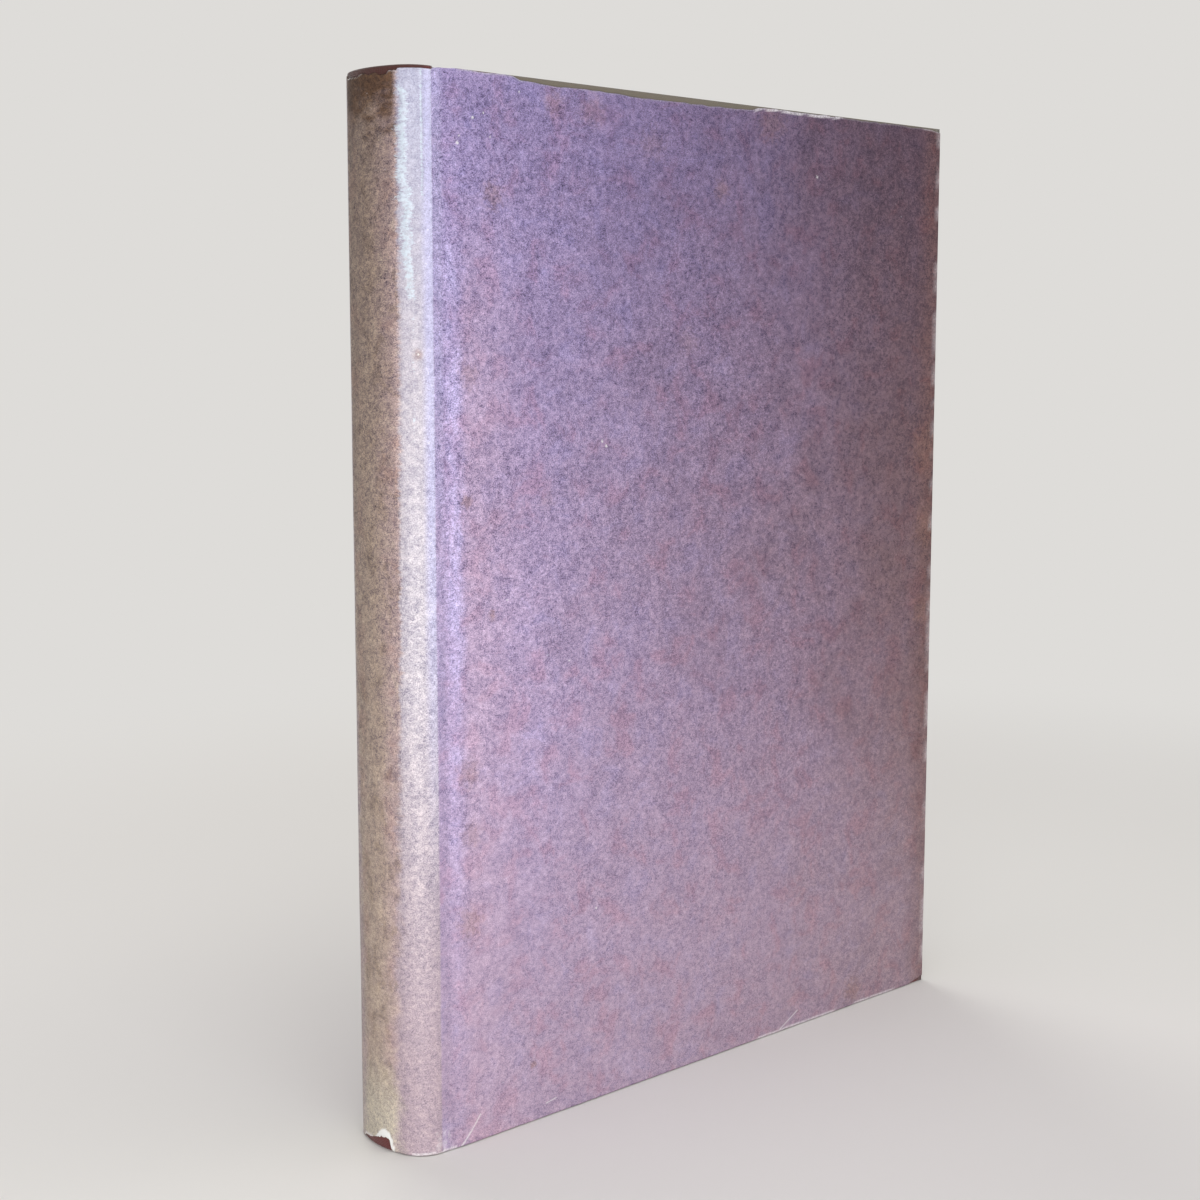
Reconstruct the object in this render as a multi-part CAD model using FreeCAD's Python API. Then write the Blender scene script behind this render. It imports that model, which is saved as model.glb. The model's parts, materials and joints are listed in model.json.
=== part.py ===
import FreeCAD, Part
import math
import os
from FreeCAD import Vector

# A sewn hardback book in a cloth case with a plain paper dust jacket, standing on its tail.
#
# Millimetres, +Z up, front cover towards -Y, spine towards -X, origin under the middle of the book.
# The plan is drawn in u, the distance from the hinge line towards the fore-edge, and h, the distance
# out from the book's middle plane. The front side is drawn, and the back side is its mirror image.

# Overall size over the jacket
book_height = 240.0
book_thickness = 26.0
cover_width = 177.8  # hinge line to fore-edge
spine_bulge = 8.1  # round of the spine past the hinge line
spine_back_radius = 21.3
ridge_drop = 0.5  # the hinge ridge lies this far below the cover's face
jacket_dip = 0.65  # sag of the jacket over the groove below the ridge

# Sheets and boards
jacket_t = 0.2
cloth_t = 0.4
board_t = 2.4
inlay_t = 0.8
mull_t = 0.25
lining_t = 0.2
pastedown_t = 0.15
flyleaf_t = 0.15

# Covers
groove_width = 6.6  # hinge line to the cloth on the board's spine edge
groove_slope = 2.4  # run of the cloth from the ridge down into the groove
turn_in = 15.0
flap_width = 80.0
mull_reach = 32.0  # hinge line to the edge of the mull's flange
mull_inset = 3.0  # end of the mull to the turned-in cloth
square = 3.0  # overhang of the covers past the pages at head, tail and fore-edge

# Spine of the page block
block_bulge = 5.25
fore_edge_hollow = 4.2
inlay_half = 9.2
lining_inset = 1.0
thread_t = 0.4
stitch_stations = 7
stitch_inset = 14.0
band_bead = 1.6
band_skirt_t = 0.3
band_depth = 8.0
band_inset = 1.5

# Clearances
cover_gap = 0.15  # jacket flap to flyleaf
hinge_gap = 0.3  # between spine and cover at the hinge line
jacket_tail_gap = 0.2
jacket_head_gap = 0.8

# Wear of the jacket
tail_chip = ((-4.2, 0.0), (-3.6, 2.6), (-0.4, 4.9), (1.1, 3.0), (3.4, 1.5), (7.0, 0.9), (7.4, 0.0))
head_chip = ((-4.4, 0.0), (-3.2, 0.9), (-0.8, 1.7), (1.6, 0.8), (4.6, 1.5), (8.4, 0.7), (8.8, 0.0))
edge_chip_start = 24.6
edge_chip_end = 102.5
edge_chip_depth = 1.0
edge_chip_slant = 1.8

# Places that follow from the sizes
hinge_u = -(cover_width - spine_bulge) / 2
face_h = book_thickness / 2
ridge_h = face_h - ridge_drop
board_out_h = face_h - jacket_t - cloth_t
board_in_h = board_out_h - board_t
cloth_end = cover_width - jacket_t
block_end = cloth_end - square
block_tail = square
block_head = book_height - square
mull_tail = turn_in + mull_inset
mull_head = book_height - turn_in - mull_inset
jacket_head = book_height - jacket_head_gap
cover_start = hinge_gap / 2
far = book_height + cover_width

# Depths below the outside of the case cloth, inside the board and in the groove
turned_depth = 2 * cloth_t
flap_depth = turned_depth + pastedown_t + jacket_t
flyleaf_depth = flap_depth + cover_gap
block_depth = flyleaf_depth + flyleaf_t

# Outside of the case cloth from the ridge down the slope and on along the board's inner face
hinge_path = ((0.0, ridge_h - jacket_t), (groove_slope, board_in_h + cloth_t), (cloth_end, board_in_h + cloth_t))

# Round of the spine: a back arc and two corner arcs, all tangent and ending at the ridges
corner_radius = (2 * spine_bulge * spine_back_radius - spine_bulge**2 - ridge_h**2) / (
    2 * (spine_back_radius - ridge_h)
)
corner_h = ridge_h - corner_radius
back_u = spine_back_radius - spine_bulge
corner_angle = math.atan2(corner_h, -back_u)


def place(u, h, z):
    """Point on the front side in the book's frame."""
    return Vector(hinge_u + u, -h, z)


def slab(u0, u1, h0, h1, z0, z1):
    """Upright box between two distances from the middle plane."""
    return Part.makeBox(u1 - u0, h1 - h0, z1 - z0, place(u0, h1, z0))


def prism(outline, z0, z1):
    """Upright solid on a closed outline of (u, h) points."""
    ring = [place(u, h, z0) for u, h in outline]
    return Part.Face(Part.makePolygon(ring + ring[:1])).extrude(Vector(0, 0, z1 - z0))


def shifted(path, depth):
    """An open path moved by depth to its inner side, with mitred corners."""
    normals = []
    for (u0, h0), (u1, h1) in zip(path, path[1:]):
        length = math.hypot(u1 - u0, h1 - h0)
        normals.append(((h1 - h0) / length, (u0 - u1) / length))
    moved = []
    for i, (u, h) in enumerate(path):
        before = normals[max(i - 1, 0)]
        after = normals[min(i, len(normals) - 1)]
        k = depth / (1 + before[0] * after[0] + before[1] * after[1])
        moved.append((u + k * (before[0] + after[0]), h + k * (before[1] + after[1])))
    return moved


def sheet_along(path, depth0, depth1, z0, z1):
    """Sheet between two depths below a path."""
    return prism(shifted(path, depth0) + shifted(path, depth1)[::-1], z0, z1)


def round_fold(u, h, radius, start, end, steps=6):
    """Corners of short straight runs that touch an arc in the plan, by angle from +u towards +h."""
    step = math.radians(end - start) / steps
    reach = radius / math.cos(step / 2)
    angles = [math.radians(start) + step * (i + 0.5) for i in range(steps)]
    return [(u + reach * math.cos(a), h + reach * math.sin(a)) for a in angles]


def mirrored(shape):
    """The same piece on the back side."""
    return shape.mirror(Vector(0, 0, 0), Vector(0, 1, 0))


def spine_core(depth, z0, z1):
    """Everything inside the spine's round, at a depth below the jacket's outside."""
    corner = corner_radius - depth
    back = spine_back_radius - depth
    corner_mid = (corner_angle + math.pi / 2) / 2
    ridge = (0.0, corner_h + corner)
    shoulder = (corner * math.cos(corner_mid), corner_h + corner * math.sin(corner_mid))
    join = (corner * math.cos(corner_angle), corner_h + corner * math.sin(corner_angle))
    points = [ridge, shoulder, join, (back_u - back, 0.0)]
    points += [(u, -h) for u, h in points[2::-1]]
    spots = [place(u, h, z0) for u, h in points]
    edges = [Part.Arc(*spots[i : i + 3]).toShape() for i in (0, 2, 4)]
    edges.append(Part.LineSegment(spots[6], spots[0]).toShape())
    return Part.Face(Part.Wire(edges)).extrude(Vector(0, 0, z1 - z0))


def spine_sheet(depth0, depth1, z0, z1, half=book_thickness):
    """Sheet round the spine between two depths, out to a distance from the middle plane."""
    sheet = spine_core(depth0, z0, z1).cut(spine_core(depth1, z0, z1))
    return sheet.common(slab(-far, -cover_start, -half, half, z0, z1))


# Back of the page block: one arc from shoulder tip to shoulder tip
tip_u, tip_h = shifted(hinge_path, block_depth)[0]
block_rise = block_bulge + tip_u
block_radius = (tip_h**2 + block_rise**2) / (2 * block_rise)
block_centre_u = block_radius - block_bulge


def block_sheet(depth0, depth1, half, z0, z1):
    """Sheet on the block's rounded back, from depth0 to depth1 above the page folds."""
    foot = place(block_centre_u, 0, z0)
    outer = Part.makeCylinder(block_radius + depth1, z1 - z0, foot)
    inner = Part.makeCylinder(block_radius + depth0, z1 - z0, foot)
    return outer.cut(inner).common(slab(-far, 0, -half, half, z0, z1))


def sewing_thread():
    """Rows of stitches that lie in the folds across the block's back, one at each station."""
    first = block_tail + stitch_inset
    step = (block_head - stitch_inset - first) / (stitch_stations - 1)
    half = board_in_h - turned_depth
    rows = []
    for i in range(stitch_stations):
        z = first + i * step
        rows.append(block_sheet(-thread_t, 0, half, z - thread_t / 2, z + thread_t / 2))
    return rows


def text_block(rows):
    """All the pages as one solid: rounded back, backed shoulders and hollow fore-edge."""
    tip, foot, fore = shifted(hinge_path, block_depth)
    fore = (block_end, fore[1])
    front = [place(u, h, block_tail) for u, h in (tip, foot, fore)]
    back = [place(u, -h, block_tail) for u, h in (fore, foot, tip)]
    hollow = place(block_end - fore_edge_hollow, 0, block_tail)
    apex = place(-block_bulge, 0, block_tail)
    edges = [Part.LineSegment(a, b).toShape() for a, b in zip(front, front[1:])]
    edges.append(Part.Arc(front[-1], hollow, back[0]).toShape())
    edges += [Part.LineSegment(a, b).toShape() for a, b in zip(back, back[1:])]
    edges.append(Part.Arc(back[-1], apex, front[0]).toShape())
    block = Part.Face(Part.Wire(edges)).extrude(Vector(0, 0, block_head - block_tail))
    return block.cut(Part.makeCompound(rows))


def flyleaf():
    """Free endpaper against the first page, bent up over the shoulder."""
    leaf = sheet_along(hinge_path, flyleaf_depth, block_depth, block_tail, block_head)
    return leaf.common(slab(-far, block_end, 0, far, block_tail, block_head))


def end_band(block_edge, outward):
    """Woven band at one end of the block: a bead on the page folds and a skirt glued behind them."""
    bead_r = band_bead / 2
    half = tip_h - band_inset
    centre = place(block_centre_u, 0, block_edge + outward * bead_r)
    bead = Part.makeTorus(block_radius + band_skirt_t - bead_r, bead_r, centre)
    bead = bead.common(slab(-far, 0, -half, half, 0, book_height))
    z0, z1 = sorted((block_edge - outward * band_depth, block_edge + outward * bead_r))
    return bead.fuse(block_sheet(0, band_skirt_t, half, z0, z1)).removeSplitter()


def case_cloth_spine():
    """Case cloth round the spine, turned in behind the inlay at head and tail."""
    inlay_in = jacket_t + cloth_t + inlay_t
    cloth = spine_sheet(jacket_t, jacket_t + cloth_t, 0, book_height)
    for z0, z1 in ((0, turn_in), (book_height - turn_in, book_height)):
        cloth = cloth.fuse(spine_sheet(jacket_t, jacket_t + turned_depth, z0, z1))
        cloth = cloth.fuse(spine_sheet(jacket_t, inlay_in + cloth_t, z0, z1, inlay_half + cloth_t))
    return cloth.cut(spine_inlay()).removeSplitter()


def spine_inlay():
    """Card strip that stiffens the case's spine."""
    depth = jacket_t + cloth_t
    return spine_sheet(depth, depth + inlay_t, cloth_t, book_height - cloth_t, inlay_half)


def chip(outline, edge_z, inward):
    """Cutter for a loss at the jacket's edge: (y, distance in from the edge) seen from the spine."""
    low = [(y, edge_z - inward) for y in (outline[0][0], outline[-1][0])]
    ring = [(y, edge_z + inward * d) for y, d in outline] + low[::-1]
    points = [Vector(hinge_u - far, y, z) for y, z in ring]
    return Part.Face(Part.makePolygon(points + points[:1])).extrude(Vector(far, 0, 0))


def jacket_spine():
    """Dust jacket round the spine, with its losses at head and tail."""
    sheet = spine_sheet(0, jacket_t, jacket_tail_gap, jacket_head)
    sheet = sheet.cut(chip(tail_chip, jacket_tail_gap, 1))
    return sheet.cut(chip(head_chip, jacket_head, -1))


def board():
    """Cover board."""
    return slab(
        groove_width + cloth_t, cloth_end - cloth_t, board_in_h, board_out_h, cloth_t, book_height - cloth_t
    )


def hinge_layer(depth0, depth1, u0, u1, z0, z1):
    """Sheet between two depths below the case cloth's path, cut to a rectangle."""
    return sheet_along(hinge_path, depth0, depth1, z0, z1).common(slab(u0, u1, 0, far, z0, z1))


def case_cloth_cover():
    """Case cloth of one cover: groove, board face, wrapped edges and the turned-in margin."""
    wrap = slab(groove_width, cloth_end, board_in_h - cloth_t, face_h - jacket_t, 0, book_height)
    spine_edge_x = hinge_u + groove_width
    round_edges = [e for e in wrap.Edges if e.CenterOfMass.x > spine_edge_x + cloth_t]
    wrap = wrap.makeFillet(cloth_t, round_edges)
    wrap = wrap.cut(board())
    window = slab(
        -far, cloth_end - turn_in, board_in_h - cloth_t, board_in_h, turn_in, book_height - turn_in
    )
    wrap = wrap.cut(window)
    overlap = groove_width + cloth_t
    wrap = wrap.fuse(hinge_layer(0, cloth_t, cover_start, overlap, 0, book_height))
    for z0, z1 in ((0, turn_in), (book_height - turn_in, book_height)):
        wrap = wrap.fuse(hinge_layer(0, turned_depth, cover_start, overlap, z0, z1).cut(board()))
    return wrap.removeSplitter()


def mull_flange():
    """Edge of the mull glued inside the board."""
    return hinge_layer(cloth_t, cloth_t + mull_t, cover_start, mull_reach, mull_tail, mull_head)


def pastedown():
    """Endpaper pasted over the board, the turned-in cloth and the mull's flange."""
    low, high = block_tail, block_head
    lumps = (
        (cloth_t, 0, block_end, low, turn_in),
        (cloth_t, 0, block_end, book_height - turn_in, high),
        (cloth_t, cloth_end - turn_in, block_end, low, high),
        (mull_t, 0, mull_reach, mull_tail, mull_head),
    )
    t = pastedown_t
    sheet = hinge_layer(cloth_t, cloth_t + t, cover_start, block_end, low, high)
    for height, u0, u1, z0, z1 in lumps:
        edges = (max(u0 - t, cover_start), min(u1 + t, block_end), max(z0 - t, low), min(z1 + t, high))
        sheet = sheet.fuse(hinge_layer(cloth_t, cloth_t + height + t, *edges))
    for height, u0, u1, z0, z1 in lumps:
        sheet = sheet.cut(hinge_layer(cloth_t, cloth_t + height, u0, u1, z0, z1))
    return sheet.removeSplitter()


def jacket_path():
    """Outside of the jacket from the ridge, dipping over the groove, round the fore-edge to the flap."""
    groove_end = groove_width - jacket_t
    steps = 12
    dip = ridge_drop + jacket_dip
    path = []
    for i in range(steps + 1):
        s = i / steps
        path.append((groove_end * s, ridge_h + ridge_drop * s - dip * math.sin(math.pi * s) ** 2))
    fold = cloth_t + jacket_t
    flap_h = board_in_h + cloth_t - flap_depth
    path += round_fold(cover_width - fold, face_h - fold, fold, 90, 0)
    path += round_fold(cover_width - fold, flap_h + fold, fold, 0, -90)
    path.append((cover_width - flap_width, flap_h))
    return path


def jacket_cover():
    """Dust jacket over one cover, with its flap tucked inside the fore-edge."""
    sheet = sheet_along(jacket_path(), 0, jacket_t, jacket_tail_gap, jacket_head)
    return sheet.common(slab(cover_start, far, 0, far, 0, book_height))


def front_jacket_cover():
    """Front of the jacket with the long shallow loss at its head."""
    slant = edge_chip_slant
    ring = (
        (edge_chip_start, book_height),
        (edge_chip_start + slant, jacket_head - edge_chip_depth),
        (edge_chip_end - slant, jacket_head - edge_chip_depth),
        (edge_chip_end, book_height),
    )
    points = [place(u, far, z) for u, z in ring]
    cutter = Part.Face(Part.makePolygon(points + points[:1])).extrude(Vector(0, far - board_out_h, 0))
    return jacket_cover().cut(cutter)


def build():
    """Every piece of the book by its node name."""
    rows = sewing_thread()
    pieces = {
        "text_block": text_block(rows),
        "sewing_thread": Part.makeCompound(rows),
        "mull_spine": block_sheet(0, mull_t, tip_h, mull_tail, mull_head),
        "spine_lining": block_sheet(mull_t, mull_t + lining_t, tip_h - lining_inset, mull_tail, mull_head),
        "head_band": end_band(block_head, 1),
        "tail_band": end_band(block_tail, -1),
        "spine_inlay": spine_inlay(),
        "cloth_spine": case_cloth_spine(),
        "jacket_spine": jacket_spine(),
        "jacket_front": front_jacket_cover(),
        "jacket_back": mirrored(jacket_cover()),
    }
    sides = {
        "flyleaf": flyleaf(),
        "board": board(),
        "cloth": case_cloth_cover(),
        "mull": mull_flange(),
        "pastedown": pastedown(),
    }
    names = {
        "flyleaf": ("front_flyleaf", "back_flyleaf"),
        "board": ("front_board", "back_board"),
        "cloth": ("cloth_front", "cloth_back"),
        "mull": ("mull_front_flange", "mull_back_flange"),
        "pastedown": ("front_pastedown", "back_pastedown"),
    }
    for key, (front, back) in names.items():
        pieces[front] = sides[key]
        pieces[back] = mirrored(sides[key])
    return pieces


def main():
    os.makedirs("parts", exist_ok=True)
    for name, shape in build().items():
        box = shape.BoundBox
        size = (box.XMin, box.XMax, box.YMin, box.YMax, box.ZMin, box.ZMax)
        facts = (name, shape.isValid(), len(shape.Solids), shape.Volume) + size
        print("%s valid=%s solids=%d volume=%.1f x %.2f..%.2f y %.2f..%.2f z %.2f..%.2f" % facts)
        shape.exportStep("parts/%s.step" % name)


main()
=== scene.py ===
import json
import math

import bmesh
import bpy
from bpy.props import FloatProperty, FloatVectorProperty, IntProperty, PointerProperty
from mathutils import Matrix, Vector, noise


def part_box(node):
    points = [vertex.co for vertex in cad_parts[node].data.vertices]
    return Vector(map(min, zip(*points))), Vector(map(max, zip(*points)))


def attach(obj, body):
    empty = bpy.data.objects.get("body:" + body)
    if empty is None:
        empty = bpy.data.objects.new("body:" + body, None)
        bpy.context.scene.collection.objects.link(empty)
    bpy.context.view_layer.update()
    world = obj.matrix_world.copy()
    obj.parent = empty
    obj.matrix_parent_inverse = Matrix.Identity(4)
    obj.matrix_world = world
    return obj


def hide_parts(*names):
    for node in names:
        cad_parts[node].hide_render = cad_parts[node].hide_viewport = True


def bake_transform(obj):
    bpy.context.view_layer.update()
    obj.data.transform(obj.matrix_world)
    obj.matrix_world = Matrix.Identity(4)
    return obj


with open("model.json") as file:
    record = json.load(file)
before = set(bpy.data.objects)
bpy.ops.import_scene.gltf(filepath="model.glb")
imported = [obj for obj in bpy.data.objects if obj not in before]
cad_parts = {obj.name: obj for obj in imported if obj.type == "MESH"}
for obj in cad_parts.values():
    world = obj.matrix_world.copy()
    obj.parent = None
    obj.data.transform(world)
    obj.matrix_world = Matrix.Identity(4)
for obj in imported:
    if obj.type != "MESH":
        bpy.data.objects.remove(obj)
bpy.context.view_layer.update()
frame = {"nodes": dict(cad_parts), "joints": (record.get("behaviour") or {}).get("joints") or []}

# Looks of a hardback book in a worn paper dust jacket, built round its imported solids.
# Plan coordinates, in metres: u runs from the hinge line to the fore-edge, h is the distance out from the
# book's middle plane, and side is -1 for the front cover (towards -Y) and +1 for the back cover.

bl_info = {
    "name": "Hardback book",
    "version": (1, 0, 0),
    "blender": (4, 5, 0),
    "location": "View3D > Sidebar > Book",
    "description": "Dresses a hardback book: paper jacket, cloth case, pages, end bands and endpapers",
    "category": "Add Mesh",
}

MM = 0.001
REST_PLACE = "rest_place"
FRONT = -1
BACK = 1


def shade(red, green, blue):
    """A colour written in display values of 0 to 255, as linear light."""
    found = []
    for value in (red, green, blue):
        v = value / 255
        found.append(v / 12.92 if v <= 0.04045 else ((v + 0.055) / 1.055) ** 2.4)
    return tuple(found)


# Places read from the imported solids
HINGE_X = frame["joints"][0]["pos_m"][0]
JACKET_LOW, JACKET_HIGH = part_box("jacket_front")
SPINE_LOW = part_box("jacket_spine")[0]
CLOTH_LOW, CLOTH_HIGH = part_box("cloth_front")
BOARD_LOW, BOARD_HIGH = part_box("front_board")
BLOCK_LOW, BLOCK_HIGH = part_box("text_block")
LEAF_LOW, LEAF_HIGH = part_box("front_flyleaf")
INLAY_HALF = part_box("spine_inlay")[1].y
BAND_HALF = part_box("head_band")[1].y
FACE_H = -JACKET_LOW.y
RIDGE_H = -SPINE_LOW.y
FLAP_H = -JACKET_HIGH.y
BULGE = HINGE_X - SPINE_LOW.x
COVER_U = JACKET_HIGH.x - HINGE_X
CLOTH_U = CLOTH_HIGH.x - HINGE_X
CLOTH_FACE_H = -CLOTH_LOW.y
JACKET_T = FACE_H - CLOTH_FACE_H
CLOTH_T = CLOTH_FACE_H + BOARD_LOW.y
BOARD_IN_H = -BOARD_HIGH.y
TURNED_H = -CLOTH_HIGH.y
GROOVE_U = BOARD_LOW.x - CLOTH_T - HINGE_X
TAIL_Z = JACKET_LOW.z
HEAD_Z = JACKET_HIGH.z
BOOK_Z = CLOTH_HIGH.z
FOLD_R = JACKET_T + CLOTH_T
BLOCK_HALF = -LEAF_HIGH.y
TIP_H = BLOCK_HIGH.y
FORE_U = BLOCK_HIGH.x - HINGE_X
BLOCK_BULGE = HINGE_X - BLOCK_LOW.x
BLOCK_RADIUS = 0.01668
# The same in the millimetres that the materials work in
HINGE = HINGE_X / MM
FACE = FACE_H / MM
TOP = BOOK_Z / MM


def length(label, text, value):
    return FloatProperty(name=label, description=text, default=value, unit="LENGTH")


def count(label, text, value, least):
    return IntProperty(name=label, description=text, default=value, min=least)


def paint(label, text, *display):
    return FloatVectorProperty(name=label, description=text, subtype="COLOR", default=shade(*display))


class BookSizes(bpy.types.PropertyGroup):
    """Sizes of the dressed book that the solids don't give."""

    spine_radius: length("Spine radius", "Radius of the spine's back", 21.3 * MM)
    ridge_drop: length("Ridge drop", "Hinge ridge below the cover's face", FACE_H - RIDGE_H)
    groove_sag: length("Groove sag", "How far the jacket sinks into the groove", 0.42 * MM)
    groove_slope: length("Groove slope", "Run of the cloth down into the groove", 2.4 * MM)
    flap_width: length("Flap width", "Width of the jacket's flap", 80 * MM)
    turn_in: length("Turn-in", "Width of the cloth folded inside", 15 * MM)
    paper_step: length("Paper step", "Spacing of the jacket's mesh on its flat parts", 2.0 * MM)
    fine_step: length("Fine step", "Spacing of the mesh at folds and torn edges", 0.38 * MM)
    gatherings: count("Gatherings", "Folded sections in the block", 22, 4)
    leaf_pitch: length("Leaf pitch", "Thickness of one leaf", 0.11 * MM)
    band_wraps: count("Band wraps", "Turns of thread on an end band", 46, 8)


class BookColours(bpy.types.PropertyGroup):
    """Colours of the dressed book."""

    # The lilac near the spine is partly a painted cool sheen
    jacket: paint("Jacket", "Jacket paper near the spine", 160, 143, 178)
    jacket_mauve: paint("Mauve", "Jacket paper in the middle of a cover", 144, 124, 150)
    # Browning towards the fore-edge is partly toning and partly painted shade
    jacket_brown_and_shade: paint("Browning and shade", "Toned edges of the jacket", 112, 86, 86)
    # The dark corner at the head of the fore-edge is partly a stain and partly painted shade
    jacket_corner_brown_and_shade: paint("Corner", "Darkest corner of the jacket", 72, 50, 48)
    spine_warm: paint("Spine", "Faded paper on the spine", 160, 143, 133)
    spine_pink: paint("Spine edge", "Paper beside the rubbed corner", 170, 150, 152)
    # The pale corner is partly rubbed paper and partly a painted highlight
    rubbed_pale_and_highlight: paint("Rubbed corner and highlight", "Paper rubbed pale along the spine's corner", 174, 168, 180)
    paper_core: paint("Torn paper", "White core of torn paper", 222, 222, 220)
    rust: paint("Foxing", "Rust coloured spots", 134, 100, 88)
    cloth: paint("Cloth", "Case cloth", 86, 32, 33)
    dust: paint("Dust", "Dust on the upper edges", 108, 103, 90)
    pages: paint("Pages", "Edges of the pages", 196, 176, 142)
    endpaper: paint("Endpaper", "Endpapers", 192, 176, 144)
    board: paint("Board", "Board", 148, 131, 107)
    kraft: paint("Kraft", "Spine lining", 138, 108, 78)
    mull: paint("Mull", "Open cloth", 200, 190, 165)
    band: paint("Band", "Coloured wraps of the end bands", 140, 52, 48)
    floor: paint("Floor", "Floor", 226, 224, 220)


def sizes():
    return bpy.context.scene.book_sizes


def colours():
    return bpy.context.scene.book_colours


def rgba(colour):
    return (*colour, 1.0)


# Node trees

FLOAT = "NodeSocketFloat"
VECTOR = "NodeSocketVector"


class Graph:
    """Short calls that add nodes to one tree; all but node() return an output socket."""

    def __init__(self, tree):
        self.tree = tree

    def feed(self, made, inputs):
        """Links or fills in the inputs of a node."""
        for key, value in inputs.items():
            if isinstance(value, bpy.types.NodeSocket):
                self.tree.links.new(value, made.inputs[key])
            else:
                made.inputs[key].default_value = value
        return made

    def node(self, kind, inputs=None, **settings):
        made = self.tree.nodes.new(kind)
        for key, value in settings.items():
            setattr(made, key, value)
        return self.feed(made, inputs or {})

    def add(self, kind, inputs=None, **settings):
        return self.node(kind, inputs, **settings).outputs[0]

    def maths(self, operation, a, b=0.0, c=0.0, clamp=False):
        return self.add("ShaderNodeMath", {0: a, 1: b, 2: c}, operation=operation, use_clamp=clamp)

    def plus(self, a, b):
        return self.maths("ADD", a, b)

    def minus(self, a, b):
        return self.maths("SUBTRACT", a, b)

    def over(self, a, b):
        return self.maths("DIVIDE", a, b)

    def power(self, a, b):
        return self.maths("POWER", a, b)

    def linear(self, a, gain, offset):
        return self.maths("MULTIPLY_ADD", a, gain, offset)

    def times(self, *values):
        found = values[0]
        for value in values[1:]:
            found = self.maths("MULTIPLY", found, value)
        return found

    def most(self, *values):
        found = values[0]
        for value in values[1:]:
            found = self.maths("MAXIMUM", found, value)
        return found

    def vector(self, operation, a, b=(0, 0, 0), output=0):
        return self.node("ShaderNodeVectorMath", {0: a, 1: b}, operation=operation).outputs[output]

    def stretch(self, a, b):
        return self.vector("MULTIPLY", a, b)

    def scale(self, a, factor):
        return self.add("ShaderNodeVectorMath", {0: a, "Scale": factor}, operation="SCALE")

    def away(self, a, b):
        return self.vector("DISTANCE", a, b, output=1)

    def parts(self, a):
        """The x, y and z of a vector."""
        return tuple(self.node("ShaderNodeSeparateXYZ", {0: a}).outputs)

    def joined(self, x=0.0, y=0.0, z=0.0):
        return self.add("ShaderNodeCombineXYZ", {0: x, 1: y, 2: z})

    def mix(self, factor, a, b, blend="MIX"):
        made = self.node("ShaderNodeMix", {0: factor, 6: a, 7: b}, data_type="RGBA", blend_type=blend)
        return made.outputs[2]

    def tint(self, factor, a, colour):
        """A colour that passes to a plain one."""
        return self.mix(factor, a, rgba(colour))

    def filtered(self, factor, a, colour):
        """A colour that passes to its product with a plain one."""
        return self.mix(factor, a, self.mix(1.0, a, rgba(colour), "MULTIPLY"))

    def between(self, factor, a, b):
        return self.add("ShaderNodeMix", {0: factor, 2: a, 3: b}, data_type="FLOAT")

    def span(self, value, low, high, out_low=0.0, out_high=1.0, smooth=True):
        """Value moved from one range to another and held inside it."""
        return self.add(
            "ShaderNodeMapRange",
            {"Value": value, "From Min": low, "From Max": high, "To Min": out_low, "To Max": out_high},
            interpolation_type="SMOOTHSTEP" if smooth else "LINEAR",
        )

    def noise(self, at, scale, detail=3.0, roughness=0.55, distortion=0.0):
        values = {"Vector": at, "Scale": scale, "Detail": detail, "Roughness": roughness}
        return self.add("ShaderNodeTexNoise", {**values, "Distortion": distortion})

    def stored(self, name, output):
        return self.node("ShaderNodeAttribute", attribute_name=name).outputs[output]

    def random(self, low, high, number, seed):
        values = {"Min": low, "Max": high, "ID": number, "Seed": seed}
        return self.node("FunctionNodeRandomValue", values, data_type="FLOAT").outputs[1]

    def group(self, name, inputs):
        """The outputs of a shader group, by name."""
        made = self.tree.nodes.new("ShaderNodeGroup")
        made.node_tree = bpy.data.node_groups[name]
        return self.feed(made, inputs).outputs


class Group(Graph):
    """A node group with named sockets: given holds its inputs by name."""

    def __init__(self, name, kind, inputs, outputs):
        super().__init__(bpy.data.node_groups.new(name, kind))
        for label, socket_kind, default in inputs:
            socket = self.tree.interface.new_socket(label, in_out="INPUT", socket_type=socket_kind)
            if default is not None:
                socket.default_value = default
        for label, socket_kind in outputs:
            self.tree.interface.new_socket(label, in_out="OUTPUT", socket_type=socket_kind)
        self.given = {s.name: s for s in self.tree.nodes.new("NodeGroupInput").outputs if s.name}
        self.end = self.tree.nodes.new("NodeGroupOutput")

    def give(self, results):
        self.feed(self.end, results)


def shader_group(name, inputs, outputs):
    """A shader group that works on a place, with number inputs given as {label: default}."""
    rows = [("Vector", VECTOR, None)] + [(label, FLOAT, value) for label, value in inputs.items()]
    return Group(name, "ShaderNodeTree", rows, [(label, FLOAT) for label in outputs])


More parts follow.
